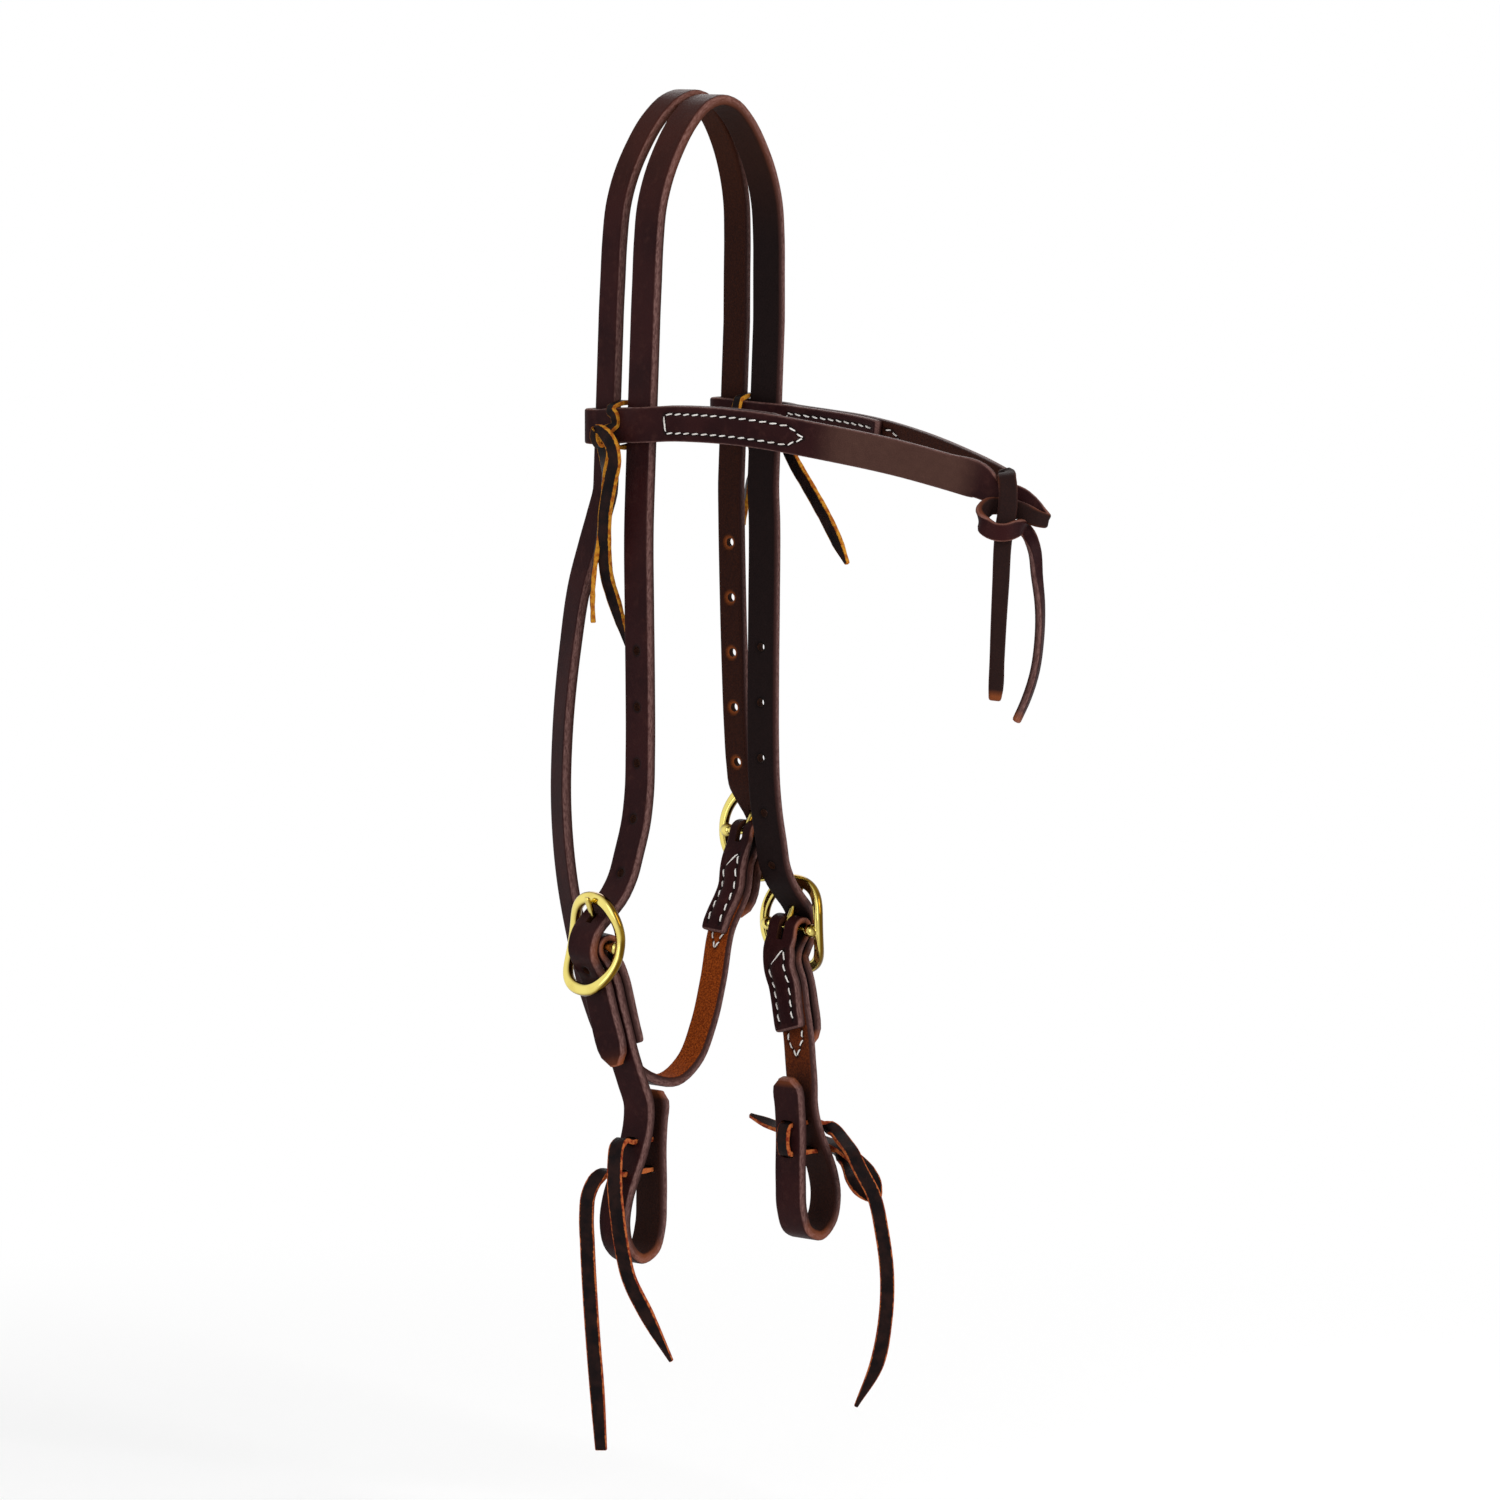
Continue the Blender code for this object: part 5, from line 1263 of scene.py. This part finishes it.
def crown_rubbed(reach, edge):
    tips = ramp(-reach, *BILLET_TIP) + tip_rub(line, reach)
    worn = bend_rub(line, reach, edge) + poll_rub(reach, middle, edge)
    return np.clip(worn + 0.8 * tips * (0.4 + 0.6 * edge), 0, 1)


cutters = [punches(line, places), *([tongue_slot(cheek_seat(side))] for side in (RIGHT, LEFT))]
make_strap(
    "crown_cheek_strap", "headstall", line, (15, 3), CROWN_STEP, near_holes(places),
    punched_relief(places), 1, np.zeros_like, crown_rubbed, cutters,
)

# ---------------------------------------------------------------- Throat strap
# A narrower strap beside the first. It goes over the poll, down the right side, under the throat
# and up to its own buckle on the left, where its end is folded and sewn and its billet comes down.
THROAT_DROP = 0.4450
THROAT_BACK = 0.0460
THROAT_TWIST = math.radians(19)
THROAT_LAP = 0.0510
THROAT_COVERED = 0.0540
THROAT_SEAM = 0.0595
THROAT_PAST_LAP = 0.0010
THROAT_DISH, THROAT_DISH_SPREAD = 0.0010, 0.0012
THROAT_BARE = (-0.02, -0.012)
THROAT_DYED = (0.42, 0.30)
THROAT_TOP_BARE = 0.2
THROAT_TAIL = 0.0400
THROAT_SEAT = Seat(LEFT, (0.0540, 0.0205, -0.3355))
# From the right side's straight run to the left side's buckle: out as a share of half the head's
# width, back as a share of the furthest, down as a share of the throat's drop, and twist as a
# share of the most
throat_shares = (
    (-1.00, 0.545, 0.412, 0.21), (-1.03, 0.65, 0.446, 0.35), (-1.06, 0.76, 0.483, 0.55),
    (-1.084, 0.88, 0.551, 0.8), (-1.096, 0.98, 0.640, 1.0), (-1.096, 1.00, 0.715, 1.0),
    (-1.084, 0.935, 0.786, 0.9), (-1.06, 0.80, 0.850, 0.8), (-0.973, 0.674, 0.910, 0.6),
    (-0.763, 0.576, 0.960, 0.4), (-0.42, 0.50, 0.991, 0.2), (0.00, 0.467, 1.000, 0.0),
    (0.345, 0.467, 0.983, 0.0), (0.59, 0.478, 0.948, -0.1), (0.763, 0.485, 0.903, -0.2),
    (0.90, 0.49, 0.854, -0.2),
)
throat_fall_shares = ((0.10, 0.02), (0.30, 0.10), (0.52, 0.22), (0.70, 0.35), (0.805, 0.47))

lower = []
for out, back, down, twist in throat_shares:
    point = (HEAD_HALF_WIDTH * out, THROAT_BACK * back, -THROAT_DROP * down)
    lower.insert(0, row(point, flared(RIGHT, THROAT_TWIST * twist)))
start = on_straight(LEFT, STRAIGHT_END, rear_setback[LEFT])
fall = [
    row(start + (THROAT_SEAT.centre - start) * np.array([out, down, down]), THROAT_SEAT.back)
    for down, out in throat_fall_shares
]
end = SewnEnd(THROAT_SEAT, lower, THROAT_LAP, THROAT_TAIL)
rows = [*end.folded, *end.fold, *lower, *crown_rows(RIGHT, 1)[::-1], crown_top(1)]
rows += [*crown_rows(LEFT, 1), *fall, *end.billet]
for one in rows:
    one[6] *= THROAT_WIDTH / STRAP_WIDTH
line = Line(rows)
places = hole_places(line, THROAT_SEAT, line.length / 2, line.length)
seams["throat"], outside, grain = fold_seams(
    line, end, THROAT_SEAT, THROAT_LAP, THROAT_COVERED, THROAT_SEAM, THROAT_PAST_LAP,
    THROAT_WIDTH, line.length / 2,
)
both = seams["throat"]["needle"] + seams["throat"]["bobbin"]
throat_lap_end = outside + THROAT_LAP
throat_crown = line.nearest(crown_top(1)[:3])


def throat_raw(reach):
    past = reach - throat_lap_end
    lower_part = 0.95 * ramp(past, *THROAT_BARE) * ramp(past, *THROAT_DYED)
    return np.maximum(lower_part, 0.08 * (reach > throat_crown - THROAT_TOP_BARE))


def throat_rubbed(reach, edge):
    worn = bend_rub(line, reach, edge) + poll_rub(reach, throat_crown, edge)
    return np.clip(worn + 0.8 * tip_rub(line, reach), 0, 1)


cutters = (punches(line, places), [tongue_slot(THROAT_SEAT)], [fold_slot(THROAT_SEAT)])
make_strap(
    "crown_throat_strap", "headstall", line, (17, 3), CROWN_STEP,
    near_holes(places) + fine_stretches(both),
    punched_relief(places, both, THROAT_DISH, THROAT_DISH_SPREAD), grain, throat_raw,
    throat_rubbed, cutters, rims=places,
)

# ---------------------------------------------------------------- Buckle frames and tongues
# Three cast brass ovals, each in one piece with the bar across its middle, bowed up at both ends
# and polished. A tongue of brass rod is curled round each bar and rests on the frame's upper end.
FRAME_WIDTH = 0.0360
FRAME_SIDE_ROD = 0.0045
BAR_BOSS_RADIUS = 0.0031
TONGUE_CURL = math.radians(285)
TONGUE_TIP_RADIUS = 0.0010
SIDE_AXIS = (FRAME_WIDTH - FRAME_SIDE_ROD) / 2
FRAME_STATIONS = 48
CURL_STATIONS = 12
CAST_ROUND = 0.0018
FRAME_FULLNESS = 0.86
BOSS_SINK = 0.0012
BAR_STEP = 0.0008
TONGUE_STEP = 0.0015
tongue_shares = ((0.25, 1), (0.6, 1.08), (0.9, 1.35), (1, 1.2))


def polished_brass():
    """Yellow brass, buffed: faint draw marks, browner blots of film, and painted reflection."""
    paint = Paint(bpy.data.materials.new("polished_yellow_brass"))
    film = paint.cloud(130, 4).above(0.45, 0.75)
    buff = paint.cloud(1800, 3, 0.6)
    # Painted reflection: faces looking out are painted pale yellow and the flanks dark brown, as
    # the room would reflect in them.
    painted_reflection = (paint.mark("painted_reflection") + 0.12 * film - 0.06).above(0.40, 0.99)
    colour = paint.blend(painted_reflection, (0.120, 0.060, 0.004), (0.90, 0.76, 0.22))
    return paint.shade(
        Base_Color=paint.blend(film * 0.30, colour, (0.50, 0.32, 0.03)),
        Metallic=1.0,
        Roughness=0.09 + 0.08 * film + 0.04 * buff,
        Normal=paint.raised(paint.cloud(160, 2) * 0.5 + buff * 0.15, 0.00008),
    )


def mark_painted_reflection(piece, seat):
    """Marks how far each point's surface looks out or in, for the brass's painted reflection."""
    painted_reflection = [abs(seat.out @ np.array(vertex.normal)) for vertex in piece.data.vertices]
    mark_points(piece.data, "painted_reflection", painted_reflection)


brass_finish = polished_brass()


def ring_of(seat):
    """The frame's oval as a closed line."""
    ring = []
    for i in range(FRAME_STATIONS):
        a = 2 * math.pi * i / FRAME_STATIONS
        rod = FRAME_SIDE_ROD + (FRAME_END_ROD - FRAME_SIDE_ROD) * math.cos(a) ** 2
        bow = FRAME_ARCH * (1 - math.sin(a) ** 4)
        high, wide = squarer(a, FRAME_FULLNESS)
        centre = seat.at(END_AXIS * high, bow, SIDE_AXIS * wide)
        radial = seat.up * math.cos(a) / END_AXIS + seat.back * math.sin(a) / SIDE_AXIS
        ring.append(row(centre, unit(radial), rod, FRAME_THICK))
    return Line(ring, closed=True)


def bar_line(seat):
    half = STRAP_WIDTH / 2
    boss = SIDE_AXIS - half
    shape = (
        (half, BAR_RADIUS, 0), (half + boss * 0.7, BAR_BOSS_RADIUS, BOSS_SINK),
        (SIDE_AXIS, BAR_RADIUS * 0.8, 0),
    )
    shape = (*((-w, r, sunk) for w, r, sunk in shape[::-1]), *shape)
    return Line([row(seat.at(0, -sunk, w), seat.up, 2 * r, 2 * r) for w, r, sunk in shape])


seats = {
    "right_cheek_buckle": cheek_seat(RIGHT),
    "left_cheek_buckle": cheek_seat(LEFT),
    "throat_buckle": THROAT_SEAT,
}
for name, seat in seats.items():
    ring = ring_of(seat)
    stops = np.linspace(0, ring.length, 2 * FRAME_STATIONS + 1)[:-1]
    cast = bar_of(name + "_frame_cast", ring, outline(CAST_ROUND, 2, 1), stops, brass_finish)
    bar = bar_line(seat)
    stops = bar.stops(0, bar.length, BAR_STEP)
    shape = outline(BAR_BOSS_RADIUS, 0, 0)
    across = bar_of(name + "_bar", bar, shape, stops, brass_finish, cut_off=(True, True))
    carve(cast, "UNION", [across], 60)
    mark_painted_reflection(cast, seat)
    seat_on(cast, "headstall", name + "_frame")

    curl, heading, leave, tip = tongue_line()
    stations = []
    for i in range(CURL_STATIONS + 1):
        a = heading - math.pi / 2 - TONGUE_CURL * (1 - i / CURL_STATIONS)
        stations.append((curl * math.cos(a), curl * math.sin(a), TONGUE_RADIUS, TONGUE_RADIUS))
    for share, wide in tongue_shares:
        radius = TONGUE_RADIUS + (TONGUE_TIP_RADIUS - TONGUE_RADIUS) * share
        stations.append((*(leave + (tip - leave) * share), radius, TONGUE_RADIUS * wide))
    rod = Line([row(seat.at(u, o), seat.back, 2 * wide, 2 * r) for u, o, r, wide in stations])
    stops = rod.stops(0, rod.length, TONGUE_STEP)
    shape = outline(TONGUE_RADIUS, 0, 0)
    tongue = bar_of(name + "_tongue_rod", rod, shape, stops, brass_finish)
    mark_painted_reflection(tongue, seat)
    seat_on(tongue, name + "_tongue", name + "_tongue")

# ---------------------------------------------------------------- Browband halves
# Each half is folded round both side straps, sewn to itself in front of them, and cut down to a
# thong at the forehead. The two thongs are tied in a flat knot with their ends hanging.
BAND_REACH = 0.1857
BAND_LAP = 0.0700
BAND_SEAM = 0.0760
BAND_STEP = 0.0028
BAND_DYED = (-0.010, 0.010)
# Where the painted sheen on the browband's plain front comes in after the seam and goes before the
# thong
SHEEN_IN = (0.002, 0.022)
SHEEN_OUT = (0.004, -0.012)
THONG_TIP = (-0.0022, -0.0004)
THONG_WIDTH = 0.0062
THONG_THICK = 0.0034
KNOT_SIZE = 0.0100
BAND_REAR = THROAT_WIDTH / 2 + BAND_CLEARANCE + BAND_THICK / 2
KNOT_CENTRE = np.array([-0.0043, -BAND_REACH, -BAND_DROP - BAND_SAG - 0.0030])
band_shares = (
    (0.10, 1.053, -0.03), (0.20, 1.035, -0.05), (0.32, 0.993, -0.03), (0.565, 0.737, 0.2),
    (0.755, 0.49, 0.46), (0.865, 0.345, 0.66), (0.94, 0.232, 0.81),
)
left_sunk_shares = (0.13, 0.20, 0.24, 0.22, 0.21, 0.19, 0.19)
bend_shares = (
    (1.6, 1.0), (0.6, 1.0), (0.28, 0.86), (0.04, 0.46), (0, 0), (0.04, -0.46), (0.28, -0.86),
    (0.6, -1.0), (1.6, -1.0),
)
# The knot's strands: left, ahead and up from its middle as shares of its size, the width direction
# there, and how wide
near_knot_shares = (
    ((-0.22, -0.27, 0.26), (0.1, 0, 1), 1.5),
    ((0.08, 0.10, 0.35), (0.2, -0.1, 1), 1.1),
    ((0.42, 0.55, 0.18), (0.4, -0.4, 0.8), 1),
    ((0.62, 0.94, -0.22), (0.5, -0.5, 0.7), 1.15),
    ((0.75, 1.29, -0.63), (0.4, -0.4, 0.8), 1.1),
    ((0.72, 1.63, -0.90), (0.2, -0.2, 1), 1.05),
    ((0.41, 1.58, -0.84), (0.1, -0.1, 1), 1.15),
    ((-0.02, 0.82, -0.48), (0, 0, 1), 1.3),
    ((-0.42, 0.19, -0.31), (0, 0, 1), 1.2),
    ((-0.88, -0.19, -0.30), (0, 0, 1), 1.25),
    ((-1.31, -0.22, -0.58), (-0.2, 0.1, 1), 1.3),
    ((-1.52, 0.07, -1.04), (0, 0.1, 1), 1.3),
    ((-1.41, 0.55, -1.32), (0, 0, 1), 1.25),
    ((-1.09, 0.95, -1.36), (0, 0, 1), 1.25),
    ((-0.65, 1.15, -1.22), (0.1, 0, 1), 1.2),
    ((-0.25, 1.07, -1.16), (0.2, -0.2, 1), 1.1),
    ((0.16, 0.89, -1.26), (0.4, -0.3, 0.9), 1),
    ((0.43, 0.94, -1.53), (0.6, -0.6, 0.5), 1),
    ((0.54, 1.14, -2.09), (0.85, -0.4, 0.1), 0.95),
    ((0.50, 1.36, -3.32), (0.97, 0, 0), 0.9),
    ((0.43, 1.60, -4.60), (0.93, 0.3, 0), 0.9),
    ((0.25, 1.72, -6.10), (0.9, 0.4, 0), 0.9),
    ((-0.06, 1.70, -7.59), (0.9, 0.4, 0), 0.9),
    ((-0.42, 1.55, -8.66), (0.9, 0.4, 0), 0.9),
    ((-0.79, 1.36, -9.51), (0.9, 0.4, 0), 0.8),
)
far_knot_shares = (
    ((1.08, -1.05, 0.68), (-0.1, 0.3, 1), 1.7),
    ((0.72, -0.70, 0.86), (0.2, 0.3, 0.9), 1.2),
    ((0.45, -0.40, 0.96), (0.5, -0.4, 0.6), 1.3),
    ((0.10, -0.04, 0.99), (0.7, -0.7, 0.1), 1.3),
    ((-0.19, 0.22, 0.89), (0.7, -0.7, 0.1), 1.3),
    ((-0.38, 0.44, 0.60), (0.7, -0.7, 0), 1.3),
    ((-0.55, 0.60, 0.14), (0.7, -0.7, 0), 1.3),
    ((-0.65, 0.66, -0.40), (0.7, -0.7, 0), 1.35),
    ((-0.80, 0.62, -1.13), (0.7, -0.7, 0), 1.3),
    ((-0.84, 0.54, -1.99), (0.7, -0.7, 0), 1.25),
    ((-0.93, 0.53, -3.50), (0.7, -0.7, 0), 1.2),
    ((-1.13, 0.59, -5.21), (0.7, -0.7, 0), 1.12),
    ((-1.35, 0.69, -6.92), (0.7, -0.7, 0), 1.05),
    ((-1.53, 0.77, -8.30), (0.7, -0.7, 0), 1.0),
    ((-1.59, 0.79, -8.55), (0.7, -0.7, 0), 0.9),
)


def band_row(point):
    return row(point, UP, STRAP_WIDTH, BAND_THICK)


def beside_straps(side, out):
    """One layer's rows between the side straps and at the front strap's front edge."""
    _, middle, front = (-BAND_DROP - BAND_SAG * sunk for sunk in loop_sunk_shares[side])
    return [
        band_row(on_straight(side, middle, rear_setback[side] / 2, out)),
        band_row(on_straight(side, front, -STRAP_WIDTH / 2, out)),
    ]


def band_main_rows(side):
    """The band's outer layer from the bend behind the rear strap to where the thong begins."""
    rows = []
    for short, out in bend_shares[::-1]:
        z = -BAND_DROP - BAND_SAG * loop_sunk_shares[side][0]
        back = rear_setback[side] + BAND_REAR - BAND_OUT * short
        rows.append(band_row(on_straight(side, z, back, BAND_OUT * out)))
    rows += beside_straps(side, BAND_OUT)
    for (ahead, out, sunk), extra in zip(band_shares, left_sunk_shares):
        z = -BAND_DROP - BAND_SAG * (sunk + (extra if side == LEFT else 0))
        rows.append(band_row((side * HEAD_HALF_WIDTH * out, -BAND_REACH * ahead, z)))
    return rows


for side in (RIGHT, LEFT):
    main = band_main_rows(side)
    core = Line(main)
    front, thong_side = (main[len(bend_shares) + i][:3] for i in (1, 2))
    first = core.nearest(thong_side)

    def inner_at(reach):
        return beside(core, reach, -side * ASIDE, GAP, STRAP_WIDTH, BAND_THICK)

    rows = layer_to_end(inner_at, first, core.nearest(front) + BAND_LAP, blunt_tip_shares)[::-1]
    rows += beside_straps(side, -BAND_OUT)[::-1] + main
    for (left, ahead, up), across, wide in near_knot_shares if side == RIGHT else far_knot_shares:
        point = KNOT_CENTRE + KNOT_SIZE * np.array([left, -ahead, up])
        rows.append(row(point, across, THONG_WIDTH * wide, THONG_THICK))
    line = Line(rows)
    name = word[side] + "_browband"
    outer_start, inner_start = line.nearest(thong_side), line.nearest(inner_at(first)[:3])
    seam_end = outer_start + BAND_SEAM
    past_lap = outer_start + inner_start + CHEEK_PAST_LAP
    grain = -side
    seams[name] = {
        "needle": [Seam(line, grain, outer_start, seam_end)],
        "bobbin": [
            Seam(line, grain, inner_start, LAP_MARGIN, pointed=False),
            Seam(line, -grain, past_lap, seam_end, barred=False),
        ],
    }
    both = seams[name]["needle"] + seams[name]["bobbin"]
    thong_start = line.nearest(main[-1][:3])

    def band_rubbed(reach, edge):
        tip = ramp(reach - line.length, *THONG_TIP)
        return np.clip(0.5 * bend_rub(line, reach, edge) + 0.6 * tip, 0, 1)

    def band_raw(reach):
        return 0.10 - 0.08 * ramp(reach - thong_start, *BAND_DYED)

    # Painted sheen on the plain front, between the seam's end and the thong's start
    def band_painted_sheen(reach):
        return ramp(reach - seam_end, *SHEEN_IN) * ramp(reach - thong_start, *SHEEN_OUT)

    make_strap(
        name + "_half", "browband", line, (23, 3), BAND_STEP, fine_stretches(both),
        seam_relief(both), grain, band_raw, band_rubbed, painted_sheen_at=band_painted_sheen,
    )

# ---------------------------------------------------------------- Stitching
# White waxed thread, lockstitched, about five stitches to the inch. Each stitch lies slightly
# aslant in its groove and dives into the leather at both ends, and a plain one bars each start.
STITCH_PITCH = 0.0053
STITCH_LONG = 0.0037
STITCH_RADIUS = 0.00037
STITCH_SLANT = 0.00030
STITCH_SINK = 0.00100
STITCH_RISE = 0.00005
STITCH_SIDES = 8
STITCH_RINGS = 9
PLY_DEPTH = 0.10
STITCH_MOST = 0.72
BAR_MARGIN = 0.0004


def waxed_thread():
    paint = Paint(bpy.data.materials.new("white_waxed_thread"))
    grime = paint.cloud(300, 3).above(0.4, 0.75)
    return paint.shade(
        Base_Color=paint.blend(grime, (0.80, 0.77, 0.73), (0.58, 0.53, 0.49)),
        Roughness=0.62 + 0.1 * grime,
        Normal=paint.raised(paint.cloud(5000, 2), 0.00010),
    )


thread_finish = waxed_thread()


def stitch(seam, first, last):
    """The rings of one stitch between two (length, across) points on the seam's face."""
    (r0, x0), (r1, x1) = first, last
    slant = np.array([x0 - x1, r1 - r0]) / math.hypot(r1 - r0, x1 - x0) * STITCH_SLANT
    shares = np.linspace(-1, 1, STITCH_RINGS)
    spots, outs, rings = [], [], []
    for s in shares:
        t = (1 + s) / 2
        reach, x = np.array([r0 + (r1 - r0) * t, x0 + (x1 - x0) * t]) + slant * s
        point, _, across, face, _, half = seam.line.at(reach)
        outs.append(unit(face) * seam.face)
        lift = half + STITCH_RISE - STITCH_SINK * s**6
        spots.append(point + outs[-1] * lift + unit(across) * x)
    for i, s in enumerate(shares):
        ahead = unit(spots[min(i + 1, STITCH_RINGS - 1)] - spots[max(i - 1, 0)])
        aside = unit(np.cross(outs[i], ahead))
        lift = np.cross(ahead, aside)
        radius = STITCH_RADIUS * math.sqrt(max(0.12, 1 - abs(s) ** 5))
        ring = []
        for a in np.linspace(0, 2 * math.pi, STITCH_SIDES, endpoint=False):
            swell = radius * (1 + PLY_DEPTH * math.cos(2 * a - 7 * s))
            ring.append(spots[i] + swell * (aside * math.cos(a) + lift * math.sin(a)))
        rings.append(ring)
    return rings


for name, kinds in seams.items():
    body = "browband" if "browband" in name else "headstall"
    for kind, sewn in kinds.items():
        forms = []
        for seam in sewn:
            for (r0, x0), (r1, x1) in seam.runs:
                long = math.hypot(r1 - r0, x1 - x0)
                count = max(1, round(long / STITCH_PITCH))
                share = min(STITCH_LONG, long / count * STITCH_MOST) / long / 2
                for i in range(count):
                    middle = (i + 0.5) / count
                    ends = (middle - share, middle + share)
                    forms.append(
                        stitch(seam, *[(r0 + (r1 - r0) * t, x0 + (x1 - x0) * t) for t in ends])
                    )
            for (start, low), (late, high) in seam.bars:
                forms.append(stitch(seam, (start, low + BAR_MARGIN), (late, high - BAR_MARGIN)))
        thread = solid(f"{name}_{kind}_stitches", forms, thread_finish)
        thread.data.shade_smooth()
        seat_on(thread, body, f"{name}_{kind}_thread")
